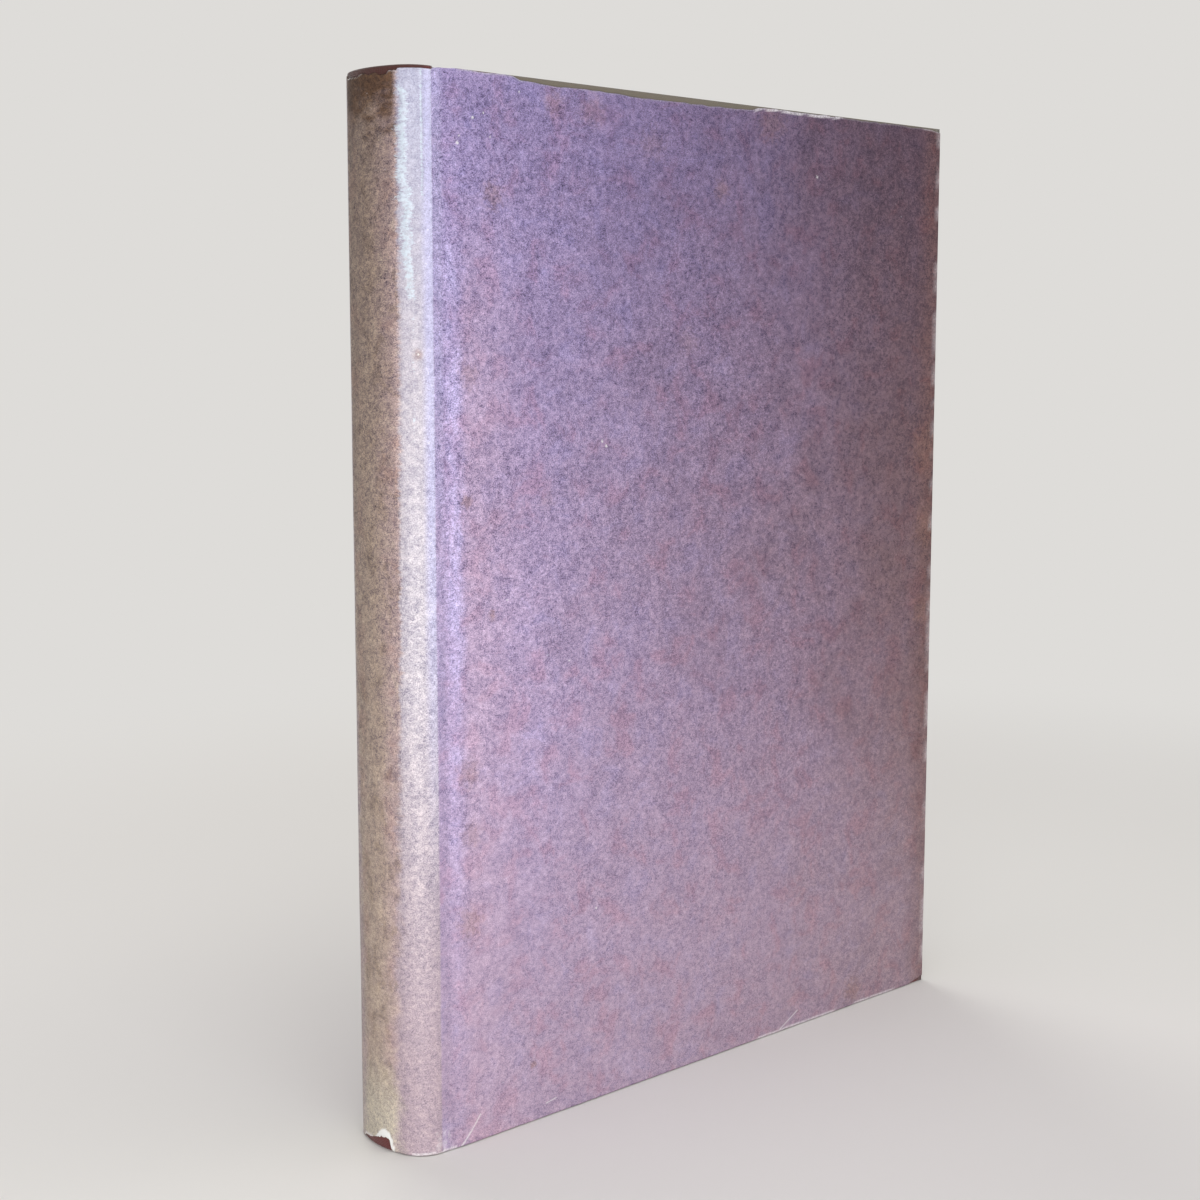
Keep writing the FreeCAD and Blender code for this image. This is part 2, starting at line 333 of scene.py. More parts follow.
def group_mottle():
    """Cloudy tone and fine flecks of old paper, from millimetre coordinates."""
    g = shader_group(
        "Paper mottle", {"Grain": 1.0, "Cloud": 0.06, "Stretch": 1.6}, ("Flecks", "Clouds", "Relief", "Grain")
    )
    at, grain = g.given["Vector"], g.given["Grain"]
    drawn = g.stretch(at, g.joined(1.0, 1.0, g.given["Stretch"]))
    pores = g.noise(drawn, g.times(grain, 3.2), 2.0, 0.8)
    fine = g.noise(drawn, g.times(grain, 0.95), 3.0, 0.6, 0.6)
    coarse = g.noise(at, g.times(grain, 0.27), 2.0, 0.5, 0.7)
    flecks = g.plus(g.times(fine, 0.62), g.times(coarse, 0.38))
    clouds = g.noise(at, g.given["Cloud"], 4.0, 0.6, 0.4)
    mixed = g.plus(g.plus(g.times(pores, 0.56), g.times(fine, 0.32)), g.times(coarse, 0.12))
    g.give({
        "Flecks": g.span(flecks, 0.36, 0.64),
        "Clouds": g.span(clouds, 0.34, 0.68),
        "Grain": mixed,
        "Relief": g.plus(g.times(fine, 0.55), g.times(pores, 0.45)),
    })


def group_laid():
    """Faint wavering lines that cross the sheet, as handmade and laid paper has."""
    g = shader_group("Laid lines", {"Pitch": 1.1}, ("Lines",))
    at = g.given["Vector"]
    across = g.plus(g.parts(at)[2], g.times(g.noise(at, 0.12, 2.0), 5.0))
    wave = g.linear(g.maths("SINE", g.times(g.over(across, g.given["Pitch"]), 2 * math.pi)), 0.5, 0.5)
    g.give({"Lines": g.times(wave, g.span(g.noise(at, 0.05, 2.0), 0.35, 0.7))})


def group_spot():
    """Soft uneven spot round a place, and its small middle."""
    rows = [("Vector", VECTOR, None), ("Place", VECTOR, (0, 0, 0)), ("Radius", FLOAT, 3.0)]
    outputs = [("Spot", FLOAT), ("Middle", FLOAT)]
    g = Group("Spot", "ShaderNodeTree", rows + [("Rag", FLOAT, 0.6)], outputs)
    at, radius = g.given["Vector"], g.given["Radius"]
    away = g.away(at, g.given["Place"])
    rag = g.times(g.minus(g.noise(at, 0.9, 3.0), 0.5), g.given["Rag"], radius)
    reach = g.over(g.plus(away, g.times(rag, 3.0)), radius)
    g.give({"Spot": g.span(reach, 0.15, 1.0, 1.0, 0.0), "Middle": g.span(reach, 0.0, 0.22, 1.0, 0.0)})


def group_scratch():
    """Thin line between two places, seen square to a cover."""
    rows = [("Vector", VECTOR, None), ("Start", VECTOR, (0, 0, 0)), ("End", VECTOR, (1, 0, 1))]
    g = Group("Scratch", "ShaderNodeTree", rows + [("Width", FLOAT, 0.25)], [("Line", FLOAT)])
    at, start = g.given["Vector"], g.given["Start"]
    waver = g.noise(at, 0.8, 2.0)
    along = g.vector("SUBTRACT", g.given["End"], start)
    offset = g.vector("SUBTRACT", g.stretch(at, (1, 0, 1)), start)
    done, whole = (g.vector("DOT_PRODUCT", each, along, output=1) for each in (offset, along))
    share = g.maths("DIVIDE", done, whole, clamp=True)
    away = g.away(offset, g.scale(along, share))
    width = g.times(g.given["Width"], g.linear(waver, 1.6, 0.2))
    g.give({"Line": g.span(g.over(away, width), 0.3, 1.0, 1.0, 0.0)})


def group_weave():
    """Plain weave: threads over and under each other, with uneven thickness."""
    rows = [("Across", FLOAT, 0.0), ("Along", FLOAT, 0.0), ("Pitch", FLOAT, 0.5)]
    g = Group("Weave", "ShaderNodeTree", rows, [("Height", FLOAT), ("Gap", FLOAT)])
    across, along = g.given["Across"], g.given["Along"]
    slub = g.linear(g.noise(g.joined(across, along), 0.5, 2.0), 0.9, 0.0)
    turns = [g.plus(g.times(g.over(each, g.given["Pitch"]), math.pi), slub) for each in (across, along)]
    warp, weft = (g.maths("ABSOLUTE", g.maths("SINE", turn)) for turn in turns)
    over = g.maths("GREATER_THAN", g.times(g.maths("SINE", turns[0]), g.maths("SINE", turns[1])), 0.0)
    height = g.plus(g.between(over, warp, weft), g.times(g.maths("MINIMUM", warp, weft), 0.5))
    g.give({"Height": height, "Gap": g.span(g.most(warp, weft), 0.0, 0.5, 1.0, 0.0)})


def group_edge_nearness():
    """How close a place is to the edges of the cover, uneven as air and hands brown old paper; on the
    jacket's fore-edge it also carries painted shade.
    """
    g = shader_group("Edge toning", {"Reach": 10.0, "Ragged": 6.0}, ("Fore-edge", "Ends"))
    x, _, z = g.parts(g.given["Vector"])
    rough = g.minus(g.noise(g.given["Vector"], 0.07, 4.0, 0.6), 0.5)
    shift = g.times(rough, g.times(g.given["Ragged"], 2.0))
    ends = g.maths("MINIMUM", g.minus(TOP, z), z)
    for distance, label in ((g.minus((HINGE_X + COVER_U) / MM, x), "Fore-edge"), (ends, "Ends")):
        share = g.over(g.plus(distance, shift), g.given["Reach"])
        g.give({label: g.span(share, 0.0, 1.0, 1.0, 0.0)})


def group_dust():
    """Dust that has settled on whatever faces up."""
    g = shader_group("Dust", {"Amount": 0.8}, ("Dust",))
    facing = g.parts(g.node("ShaderNodeNewGeometry").outputs["Normal"])
    patches = g.span(g.noise(g.given["Vector"], 0.35, 4.0, 0.65), 0.3, 0.6)
    g.give({"Dust": g.times(g.span(facing[2], 0.25, 0.85), patches, g.given["Amount"])})


# Materials


class Surface(Graph):
    """The nodes of a material, which work on a place in millimetres.

    When bends is set, the place is the one that across_hinge wrote down at rest.
    """

    def __init__(self, name, roughness, specular, bends=False):
        material = bpy.data.materials.new(name)
        material.use_nodes = True
        super().__init__(material.node_tree)
        self.shader = self.tree.nodes["Principled BSDF"]
        self.feed(self.shader, {"Roughness": roughness, "Specular IOR Level": specular})
        if bends:
            at = self.stored(REST_PLACE, "Vector")
        else:
            at = self.node("ShaderNodeTexCoord").outputs["Object"]
        self.place = self.scale(at, 1 / MM)

    def finish(self, colour, height, strength=0.3, distance=0.05 * MM):
        bump = self.add("ShaderNodeBump", {"Height": height, "Strength": strength, "Distance": distance})
        self.feed(self.shader, {"Base Color": colour, "Normal": bump})


# Rust marks on the front of the jacket: distance from the hinge line, height, radius, strength
RUST_MARKS = (
    (16.3, 213.9, 4.2, 0.75),
    (90.0, 219.0, 3.8, 0.55),
    (8.1, 147.3, 2.3, 0.8),
    (15.4, 121.4, 1.7, 0.95),
    (32.5, 146.0, 3.2, 0.35),
    (9.3, 175.0, 4.2, 0.5),
    (8.2, 86.5, 4.4, 0.6),
    (8.7, 72.4, 4.2, 0.5),
    (8.2, 52.0, 5.0, 0.65),
    (27.1, 13.8, 1.3, 0.9),
    (145.6, 4.6, 5.0, 0.75),
    (46.5, 234.5, 5.6, 0.4),
    (34.5, 235.0, 4.4, 0.5),
    (108.0, 236.0, 6.5, 0.45),
    (172.8, 108.0, 5.0, 0.6),
    (79.0, 182.7, 5.0, 0.3),
    (66.0, 228.5, 6.0, 0.35),
    (174.0, 153.0, 9.0, 0.5),
    (174.5, 131.0, 8.0, 0.55),
)
# The ring on the spine's corner, and specks: distance from the hinge line, height, radius
RUST_RING = (-3.6, 179.4, 1.7)
RING_DEPTH = 1.5
WHITE_SPECKS = (
    (10.8, 230.1, 0.50),
    (7.1, 226.0, 0.40),
    (24.3, 236.5, 0.42),
    (15.8, 226.3, 0.30),
    (13.9, 231.2, 0.30),
    (6.6, 224.4, 0.45),
    (125.7, 224.1, 0.55),
    (49.5, 159.3, 0.45),
    (50.8, 158.1, 0.50),
    (19.9, 124.6, 0.35),
    (38.9, 108.8, 0.42),
    (47.5, 47.6, 0.42),
)
# Scratches: start, end, width
SCRATCHES = (
    (5.3, 0.3, 8.4, 3.4, 0.30),
    (8.4, 3.4, 10.9, 6.4, 0.24),
    (115.4, 0.9, 122.2, 4.3, 0.26),
    (31.2, 3.4, 34.4, 3.9, 0.2),
)


def jacket_marks(g):
    """(rust, white) marks of the front, each a mask."""
    rust = []
    for u, z, radius, strength in RUST_MARKS:
        spot = g.group("Spot", {"Vector": g.place, "Place": (HINGE + u, -FACE, z), "Radius": radius})
        rust.append(g.times(spot["Spot"], strength))
    u, z, radius = RUST_RING
    at = (HINGE + u, RING_DEPTH - FACE, z)
    ring = g.group("Spot", {"Vector": g.place, "Place": at, "Radius": radius, "Rag": 0.2})
    rust.append(ring["Spot"])
    white = [g.times(ring["Middle"], 0.9)]
    shake = g.node("ShaderNodeTexNoise", {"Vector": g.place, "Scale": 1.6, "Detail": 2.0}).outputs["Color"]
    ragged_place = g.vector("ADD", g.place, g.vector("SUBTRACT", shake, (0.5, 0.5, 0.5)))
    for u, z, radius in WHITE_SPECKS:
        away = g.away(ragged_place, (HINGE + u, -FACE, z))
        white.append(g.span(away, radius * 0.2, radius, 0.75, 0.0))
    face = g.span(g.parts(g.place)[1], -9.0, -11.0)
    for u0, z0, u1, z1, width in SCRATCHES:
        ends = {"Start": (HINGE + u0, 0, z0), "End": (HINGE + u1, 0, z1)}
        line = g.group("Scratch", {"Vector": g.place, **ends, "Width": width})
        white.append(g.times(line["Line"], face, 0.5))
    return g.most(*rust), g.most(*white)


# How far the flecks darken and lighten red, green and blue, so that they keep the sheet's tint
FLECK_TINT = (1.05, 1.10, 0.94)
GREY_FLECK = (1.03, 1.02, 0.98)
REDDISH = (1.02, 0.80, 0.78)
BLUISH = (1.02, 1.10, 1.18)
TOP_SHADE = shade(92, 88, 148)
LOW_WARM_LIGHT = shade(156, 136, 150)
FORE_EDGE_BROWN_AND_SHADE = shade(104, 74, 68)
PINKISH = shade(176, 152, 172)
LIT_SLOPE_LAVENDER = shade(178, 170, 212)
GROOVE_SHADOW = shade(128, 120, 154)
GROOVE_FOOT_SHEEN = shade(172, 166, 204)
SPINE_STAIN = shade(116, 99, 87)
SPINE_FADED = shade(176, 162, 152)
SPINE_RUDDY = shade(152, 118, 112)
SPINE_TAIL_LIGHT = shade(184, 177, 163)
CORNER_HIGHLIGHT_TAIL = shade(160, 143, 154)
CORNER_HIGHLIGHT_HEAD = shade(164, 164, 186)
CORNER_LILAC_HIGHLIGHT = shade(184, 182, 216)
SPINE_BACK_SHADE = shade(90, 74, 68)
WORN_HEAD = shade(76, 52, 34)
FLAP = shade(112, 92, 114)
RUBBED = shade(224, 219, 222)
CRUMPLE_HIGHLIGHT = shade(198, 210, 220)


def cover_tone(g, u, z, across, blotch):
    """Colour of the jacket's covers."""
    c = colours()
    # Lilac near the spine, partly a painted cool sheen; mauve in the middle; brown along the fore-edge and
    # darkest at its head, partly toning and partly painted shade
    tone = g.mix(g.span(across, 0.0, 118.0), rgba(c.jacket), rgba(c.jacket_mauve))
    tone = g.tint(g.times(g.span(across, 96.0, 182.0), 0.8), tone, c.jacket_brown_and_shade)
    corner = g.times(g.span(z, 40.0, 240.0, smooth=False), g.span(across, -30.0, 165.0), 0.82)
    tone = g.tint(corner, tone, c.jacket_corner_brown_and_shade)
    # Painted cool shade, deeper towards the head and nearer the spine
    top_shade = g.span(g.minus(z, g.times(u, 0.12)), 90.0, 245.0)
    tone = g.tint(g.times(top_shade, g.span(across, 150.0, 50.0, 0.35, 1.0), 0.38), tone, TOP_SHADE)
    # Painted warm light from below, towards the bottom of the cover
    tone = g.tint(g.times(g.span(z, 110.0, 0.0), 0.55), tone, LOW_WARM_LIGHT)
    # Browning along the fore-edge, partly toning and partly painted shade
    fore = g.group("Edge toning", {"Vector": g.place, "Reach": 12.0, "Ragged": 5.0})["Fore-edge"]
    tone = g.tint(g.times(fore, 0.5), tone, FORE_EDGE_BROWN_AND_SHADE)
    tone = g.filtered(g.times(g.span(blotch, 0.50, 0.66), 0.55), tone, REDDISH)
    tone = g.filtered(g.times(g.span(blotch, 0.47, 0.32), 0.55), tone, BLUISH)
    pinkish = g.times(g.span(u, 4.8, 9.4), g.span(u, 30.0, 9.0), g.span(z, 225.0, 170.0), 0.36)
    tone = g.tint(pinkish, tone, PINKISH)
    # Groove: lavender on its far slope, partly rubbed paper and partly painted light; painted shade beside
    # the ridge
    edge = g.plus(u, g.times(g.minus(blotch, 0.5), 5.0))
    patchy = g.span(g.noise(g.stretch(g.place, (1, 1, 0.35)), 0.20, 3.0), 0.38, 0.62)
    high = g.times(g.span(z, 40.0, 130.0), g.span(z, 238.0, 215.0))
    lit_slope = g.times(g.span(edge, 1.4, 4.4), g.span(edge, 8.4, 5.2), high, patchy, 0.55)
    tone = g.tint(lit_slope, tone, LIT_SLOPE_LAVENDER)
    unpatched = g.minus(1.0, patchy)
    hollow = g.times(g.span(edge, -0.3, 0.4), g.span(edge, 3.4, 0.8), unpatched, high, 0.35)
    tone = g.tint(hollow, tone, GROOVE_SHADOW)
    # Painted cool sheen at the foot of the ridge
    foot = g.times(g.span(u, -0.2, 0.3), g.span(u, 3.4, 1.6), g.span(z, 70.0, 190.0), 0.5)
    return g.tint(foot, tone, GROOVE_FOOT_SHEEN)


def spine_tone(g, u, y, z, h, front, blotch):
    """(colour, pale mask) of the jacket's spine: warm and faded; its corner rubbed pale and painted with a
    highlight, lighter towards its tail with painted light, and painted with shade on its back that deepens
    towards the head.
    """
    c = colours()
    jag = g.times(g.minus(g.noise(g.stretch(g.place, (0.25, 0.25, 1.6)), 0.8, 3.0, 0.7), 0.5), 2.6)
    drift = g.linear(blotch, 8.0, -4.0)
    tone = g.mix(g.span(g.minus(drift, y), 0.0, 7.5), rgba(c.spine_warm), rgba(c.spine_pink))
    stains = g.noise(g.stretch(g.place, (1, 1, 0.7)), 0.2, 5.0, 0.68, 0.4)
    tone = g.tint(g.times(g.span(stains, 0.50, 0.66), 0.5), tone, SPINE_STAIN)
    tone = g.tint(g.times(g.span(stains, 0.44, 0.30), 0.55), tone, SPINE_FADED)
    tone = g.tint(g.times(g.span(blotch, 0.48, 0.62), g.span(h, 1.0, 6.5), 0.4), tone, SPINE_RUDDY)
    # Painted light: the spine is lighter towards its tail
    tone = g.tint(g.times(g.span(z, 26.0, 6.0), 0.75), tone, SPINE_TAIL_LIGHT)
    # Painted highlight along the spine's front corner, over paper rubbed pale: pinkish towards the tail,
    # cooler towards the head
    corner = g.mix(g.span(z, 10.0, 130.0), rgba(CORNER_HIGHLIGHT_TAIL), rgba(c.rubbed_pale_and_highlight))
    corner = g.tint(g.span(z, 170.0, 240.0), corner, CORNER_HIGHLIGHT_HEAD)
    # The pale border of the painted highlight stands further from the ridge towards the tail
    reach = g.plus(g.plus(h, jag), g.span(z, 200.0, 20.0, 0.0, 1.4))
    reach = g.plus(reach, g.times(drift, g.span(z, 170.0, 60.0)))
    border = g.span(reach, g.span(z, 120.0, 10.0, 8.0, 5.4), 9.2)
    pale = g.times(border, g.linear(front, 0.55, 0.45))
    tone = g.mix(pale, tone, corner)
    # Painted lilac highlight beside the ridge
    lilac = g.times(g.span(u, -3.4, -1.2), g.span(h, 9.0, 11.5), front, g.span(z, 50.0, 150.0), 0.8)
    tone = g.tint(lilac, tone, CORNER_LILAC_HIGHLIGHT)
    # Painted shade on the back of the spine, deepening towards the head
    upper = g.span(z, 30.0, 238.0, smooth=False)
    return g.tint(g.times(upper, g.span(h, 10.0, 6.0), 0.60), tone, SPINE_BACK_SHADE), pale


def jacket_paper():
    """Mauve wrapping paper: flecked, toned towards its edges, foxed, rubbed and torn white; with painted
    light and shade: a cool sheen and highlights near the spine, shade towards the head and the fore-edge,
    warm light towards the tail.
    """
    c = colours()
    g = Surface("Jacket paper", 0.5, 0.42, bends=True)
    x, y, z = g.parts(g.place)
    u = g.minus(x, HINGE)
    h = g.maths("ABSOLUTE", y)
    front = g.span(y, -1.0, 1.0, 1.0, 0.0)
    mottle = g.group("Paper mottle", {"Vector": g.place, "Grain": 1.0, "Cloud": 0.055, "Stretch": 1.25})
    laid = g.group("Laid lines", {"Vector": g.place, "Pitch": 1.15})["Lines"]
    blotch = g.noise(g.place, 0.13, 4.0, 0.62, 0.5)
    across = g.plus(u, g.times(g.minus(g.noise(g.place, 0.045, 4.0), 0.5), 60.0))
    tone = cover_tone(g, u, z, across, blotch)
    sunned, pale = spine_tone(g, u, y, z, h, front, blotch)
    on_spine = g.span(u, 0.25, -0.45)
    tone = g.mix(on_spine, tone, sunned)
    # Dark worn head of the spine
    streaks = g.noise(g.stretch(g.place, (0.5, 0.5, 1.4)), 0.34, 4.0, 0.65)
    worn = g.span(g.plus(z, g.times(streaks, 26.0)), 236.0, 249.0)
    tone = g.tint(g.times(worn, g.span(h, 8.8, 7.4), on_spine, 0.92), tone, WORN_HEAD)
    # The flaps have been out of the light
    inside = g.span(h, FLAP_H / MM + 1.4, FLAP_H / MM + 0.7)
    tone = g.tint(g.times(inside, g.span(u, 12.0, 18.0), 0.6), tone, FLAP)
    rust, white = jacket_marks(g)
    tone = g.tint(g.times(rust, 0.52), tone, c.rust)
    # Flecks of the pulp, stronger towards the head and weaker on the spine's pale corner, where a highlight
    # is painted
    tone = g.filtered(mottle["Flecks"], tone, GREY_FLECK)
    strong = g.span(z, 30.0, 150.0, 3.3, 5.7, smooth=False)
    calm = g.times(pale, on_spine, g.span(z, 60.0, 200.0), 0.55)
    strong = g.times(strong, g.minus(1.0, calm))
    grain = g.linear(g.minus(mottle["Grain"], 0.5), strong, 1.0)
    tints = [g.linear(g.minus(grain, 1.0), share, 1.0) for share in FLECK_TINT]
    grain = g.add("ShaderNodeCombineColor", dict(enumerate(tints)))
    tone = g.mix(1.0, tone, grain, "MULTIPLY")
    # Rubbed, wrinkled and torn places that the mesh marks; a highlight is painted along the wrinkles
    core, rub, crease_and_highlight = (g.stored(name, "Fac") for name in ("torn", "rubbed", "crumpled_and_highlit"))
    strokes = g.noise(g.stretch(g.place, (0.8, 0.8, 2.2)), 1.0, 4.0, 0.72)
    crumple_glint = g.span(g.plus(crease_and_highlight, g.linear(strokes, 2.6, -1.3)), 0.44, 0.74)
    glints = g.span(g.noise(g.stretch(g.place, (0.7, 0.7, 1.3)), 1.3, 3.0, 0.7), 0.36, 0.60)
    grit = g.span(g.noise(g.place, 2.2, 3.0, 0.7), 0.40, 0.60)
    tone = g.tint(g.times(g.times(rub, g.linear(grit, 0.6, 0.4)), 0.85), tone, RUBBED)
    # Painted highlight along the wrinkles, broken into glints
    crumple_glint = g.times(crumple_glint, g.linear(glints, 0.7, 0.3))
    tone = g.tint(g.times(crumple_glint, 0.85), tone, CRUMPLE_HIGHLIGHT)
    bare = g.most(white, core)
    tone = g.tint(bare, tone, c.paper_core)
    rough = g.plus(g.linear(mottle["Flecks"], -0.12, 0.50), g.times(bare, 0.35))
    g.feed(g.shader, {"Roughness": g.minus(rough, g.times(crumple_glint, 0.12))})
    height = g.plus(mottle["Relief"], g.times(laid, 0.1))
    g.finish(tone, g.plus(height, g.times(crease_and_highlight, strokes, 4.0)), 0.6, 0.12 * MM)


SOILED_CORE = shade(150, 136, 134)
SPINE_CORE = shade(92, 72, 56)
CLOTH_GAP = shade(54, 20, 22)
CLOTH_CLOUD = shade(112, 58, 54)
CLOTH_SOILED = shade(58, 34, 27)
LEAF_GAP = (0.30, 0.20, 0.11)
SECTION_TONE = (0.42, 0.30, 0.17)
PAGE_CLOUD = (0.36, 0.25, 0.15)
PAGE_DUST = (0.27, 0.22, 0.16)
PAPER_BROWN = (0.38, 0.255, 0.135)
KRAFT_BROWN = (0.14, 0.08, 0.045)
BOARD_CHIP = (0.08, 0.06, 0.04)
MULL_GAP = (0.30, 0.24, 0.16)
THREAD = (0.66, 0.60, 0.48)
BAND_CREAM = (0.62, 0.54, 0.40)


def paper_core():
    """Cut and torn edge of the jacket's sheet."""
    g = Surface("Paper core", 0.9, 0.2, bends=True)
    grain = g.noise(g.place, 1.4, 4.0, 0.6)
    worn = g.mix(g.span(grain, 0.35, 0.65), rgba(SOILED_CORE), rgba(colours().paper_core))
    x, _, z = g.parts(g.place)
    soiled = g.times(g.span(x, HINGE - 3.5, HINGE - 4.5), g.span(z, TOP - 9, TOP - 6))
    g.finish(g.tint(soiled, worn, SPINE_CORE), grain, 0.4)


def case_cloth():
    """Dark maroon book cloth with a fine weave, clouded, dusty on top and soiled at the spine's head."""
    c = colours()
    g = Surface("Case cloth", 0.72, 0.35, bends=True)
    x, y, z = g.parts(g.place)
    weave = g.group("Weave", {"Across": g.plus(x, y), "Along": z, "Pitch": 0.42})
    tone = g.mix(weave["Gap"], rgba(c.cloth), rgba(CLOTH_GAP))
    clouds = g.span(g.noise(g.place, 0.1, 4.0, 0.6), 0.35, 0.7)
    tone = g.tint(g.times(clouds, 0.35), tone, CLOTH_CLOUD)
    dust = g.group("Dust", {"Vector": g.place, "Amount": 0.8})["Dust"]
    board = g.times(g.span(x, HINGE + 3, HINGE + 26), g.span(z, TOP - 5, TOP - 1.5), 0.9)
    tone = g.tint(g.most(dust, board), tone, c.dust)
    soiled = g.times(g.span(x, HINGE - 0.5, HINGE - 2.5), g.span(z, TOP - 9, TOP - 3), 0.7)
    g.finish(g.tint(soiled, tone, CLOTH_SOILED), weave["Height"], 0.5, 0.08 * MM)
    g.feed(g.shader, {"Sheen Weight": 0.15})


def page_edges():
    """Cut edges of the leaves: fine lines, toned and dusty."""
    g = Surface("Page edges", 0.85, 0.25)
    across = g.plus(g.parts(g.place)[1], g.times(g.noise(g.place, 0.06, 3.0), 0.5))
    line = g.joined(g.over(across, sizes().leaf_pitch / MM))
    leaves = g.noise(g.vector("ADD", line, g.stretch(g.place, (0.03, 0, 0.03))), 1.0, 2.0, 0.7)
    sections = g.noise(g.joined(g.times(across, 1.25)), 1.0, 1.0)
    tone = g.mix(g.span(leaves, 0.3, 0.7), rgba(LEAF_GAP), rgba(colours().pages))
    tone = g.tint(g.times(g.span(sections, 0.3, 0.7), 0.3), tone, SECTION_TONE)
    clouds = g.span(g.noise(g.place, 0.05, 4.0, 0.6), 0.35, 0.7)
    tone = g.tint(g.times(clouds, 0.35), tone, PAGE_CLOUD)
    dust = g.group("Dust", {"Vector": g.place, "Amount": 0.55})["Dust"]
    g.finish(g.tint(dust, tone, PAGE_DUST), leaves, 0.6, 0.08 * MM)


def sheet_paper(name, colour, brown, grain):
    """Plain old paper, browned towards its edges."""
    g = Surface(name, 0.85, 0.25)
    mottle = g.group("Paper mottle", {"Vector": g.place, "Grain": grain, "Cloud": 0.03, "Stretch": 1.2})
    tone = g.mix(mottle["Flecks"], g.mix(0.12, rgba(colour), rgba(brown)), rgba(colour))
    tone = g.tint(g.times(mottle["Clouds"], 0.2), tone, brown)
    toned = g.group("Edge toning", {"Vector": g.place, "Reach": 22.0, "Ragged": 8.0})
    tone = g.tint(g.times(g.most(toned["Fore-edge"], toned["Ends"]), 0.55), tone, brown)
    cells = g.add("ShaderNodeTexVoronoi", {"Vector": g.place, "Scale": 0.09})
    fox = g.span(g.plus(cells, g.times(mottle["Flecks"], 0.04)), 0.02, 0.11, 1.0, 0.0)
    g.finish(g.tint(g.times(fox, 0.5), tone, brown), mottle["Relief"], 0.3)


def grey_board():
    """Pressed board with fibres and chips in it."""
    board = rgba(colours().board)
    g = Surface("Board", 0.9, 0.2)
    mottle = g.group("Paper mottle", {"Vector": g.place, "Grain": 2.0, "Cloud": 0.2, "Stretch": 1.0})
    tone = g.mix(mottle["Flecks"], g.mix(0.4, board, rgba(BOARD_CHIP)), board)
    g.finish(tone, mottle["Relief"], 0.4)


def woven(name, colour, pitch, gap_colour):
    """Undyed open or close cloth."""
    g = Surface(name, 0.85, 0.2)
    x, y, z = g.parts(g.place)
    weave = g.group("Weave", {"Across": g.plus(x, y), "Along": z, "Pitch": pitch})
    g.finish(g.mix(weave["Gap"], rgba(colour), rgba(gap_colour)), weave["Height"], 0.5, 0.1 * MM)


def twisted_thread(name, colour):
    """Thread with its twist."""
    g = Surface(name, 0.7, 0.3)
    grain = g.noise(g.stretch(g.place, (1, 1, 3)), 6.0, 3.0)
    dark = tuple(channel * 0.45 for channel in colour)
    g.finish(g.mix(g.span(grain, 0.35, 0.65), rgba(dark), rgba(colour)), grain, 0.4)


def build_materials():
    c = colours()
    groups = (group_mottle, group_laid, group_spot, group_scratch, group_weave, group_edge_nearness, group_dust)
    for make in groups + (jacket_paper, paper_core, case_cloth, page_edges, grey_board):
        make()
    sheet_paper("Endpaper", c.endpaper, PAPER_BROWN, 1.6)
    sheet_paper("Kraft paper", c.kraft, KRAFT_BROWN, 1.2)
    woven("Mull", c.mull, 0.9, MULL_GAP)
    twisted_thread("Sewing thread", THREAD)
    twisted_thread("Band red", tuple(c.band))
    twisted_thread("Band cream", BAND_CREAM)


def material(name):
    return bpy.data.materials[name]


# Plan outlines


def spine_points(depth, step):
    """Points round the spine from the back ridge to the front ridge, depth below the jacket."""
    back = sizes().spine_radius
    corner = (2 * BULGE * back - BULGE**2 - RIDGE_H**2) / (2 * (back - RIDGE_H))
    corner_h = RIDGE_H - corner
    back_u = back - BULGE
    join = math.atan2(corner_h, -back_u)
    turns = (
        (0.0, -corner_h, corner - depth, -math.pi / 2, -join),
        (back_u, 0.0, back - depth, -join, join - 2 * math.pi),
        (0.0, corner_h, corner - depth, join, math.pi / 2),
    )
    points = []
    for u, h, radius, start, end in turns:
        pieces = max(2, round(abs(end - start) * radius / step))
        for i in range(pieces):
            a = start + (end - start) * i / pieces
            points.append((u + radius * math.cos(a), h + radius * math.sin(a)))
    points.append((0.0, RIDGE_H - depth))
    return points


def arc(u, h, radius, start, end, pieces):
    angles = [math.radians(start + (end - start) * i / pieces) for i in range(pieces + 1)]
    return [(u + radius * math.cos(a), h + radius * math.sin(a)) for a in angles]


def run(u0, h0, u1, h1, step):
    """Points after the first of a straight run."""
    pieces = max(1, round(math.hypot(u1 - u0, h1 - h0) / step))
    return [(u0 + (u1 - u0) * i / pieces, h0 + (h1 - h0) * i / pieces) for i in range(1, pieces + 1)]


GROOVE_PIECES = 18


def jacket_cover_points():
    """Outside of the jacket from after the ridge to the end of its flap."""
    s = sizes()
    end_u = GROOVE_U - JACKET_T
    points = []
    for i in range(1, GROOVE_PIECES + 1):
        t = i / GROOVE_PIECES
        points.append((end_u * t, RIDGE_H + s.ridge_drop * t - s.groove_sag * math.sin(math.pi * t) ** 2))
    points += run(*points[-1], COVER_U - FOLD_R, FACE_H, s.paper_step)
    points += arc(COVER_U - FOLD_R, FACE_H - FOLD_R, FOLD_R, 90, 0, 5)[1:]
    points += arc(COVER_U - FOLD_R, FLAP_H + FOLD_R, FOLD_R, 0, -90, 5)
    points += run(*points[-1], COVER_U - s.flap_width, FLAP_H, 3 * s.paper_step)
    return points


def normals_of(points):
    """Outward normals of an open outline that is walked with its outside on the left."""
    found = []
    for i in range(len(points)):
        u0, h0 = points[max(i - 1, 0)]
        u1, h1 = points[min(i + 1, len(points) - 1)]
        size = math.hypot(u1 - u0, h1 - h0)
        found.append((-(h1 - h0) / size, (u1 - u0) / size))
    return found


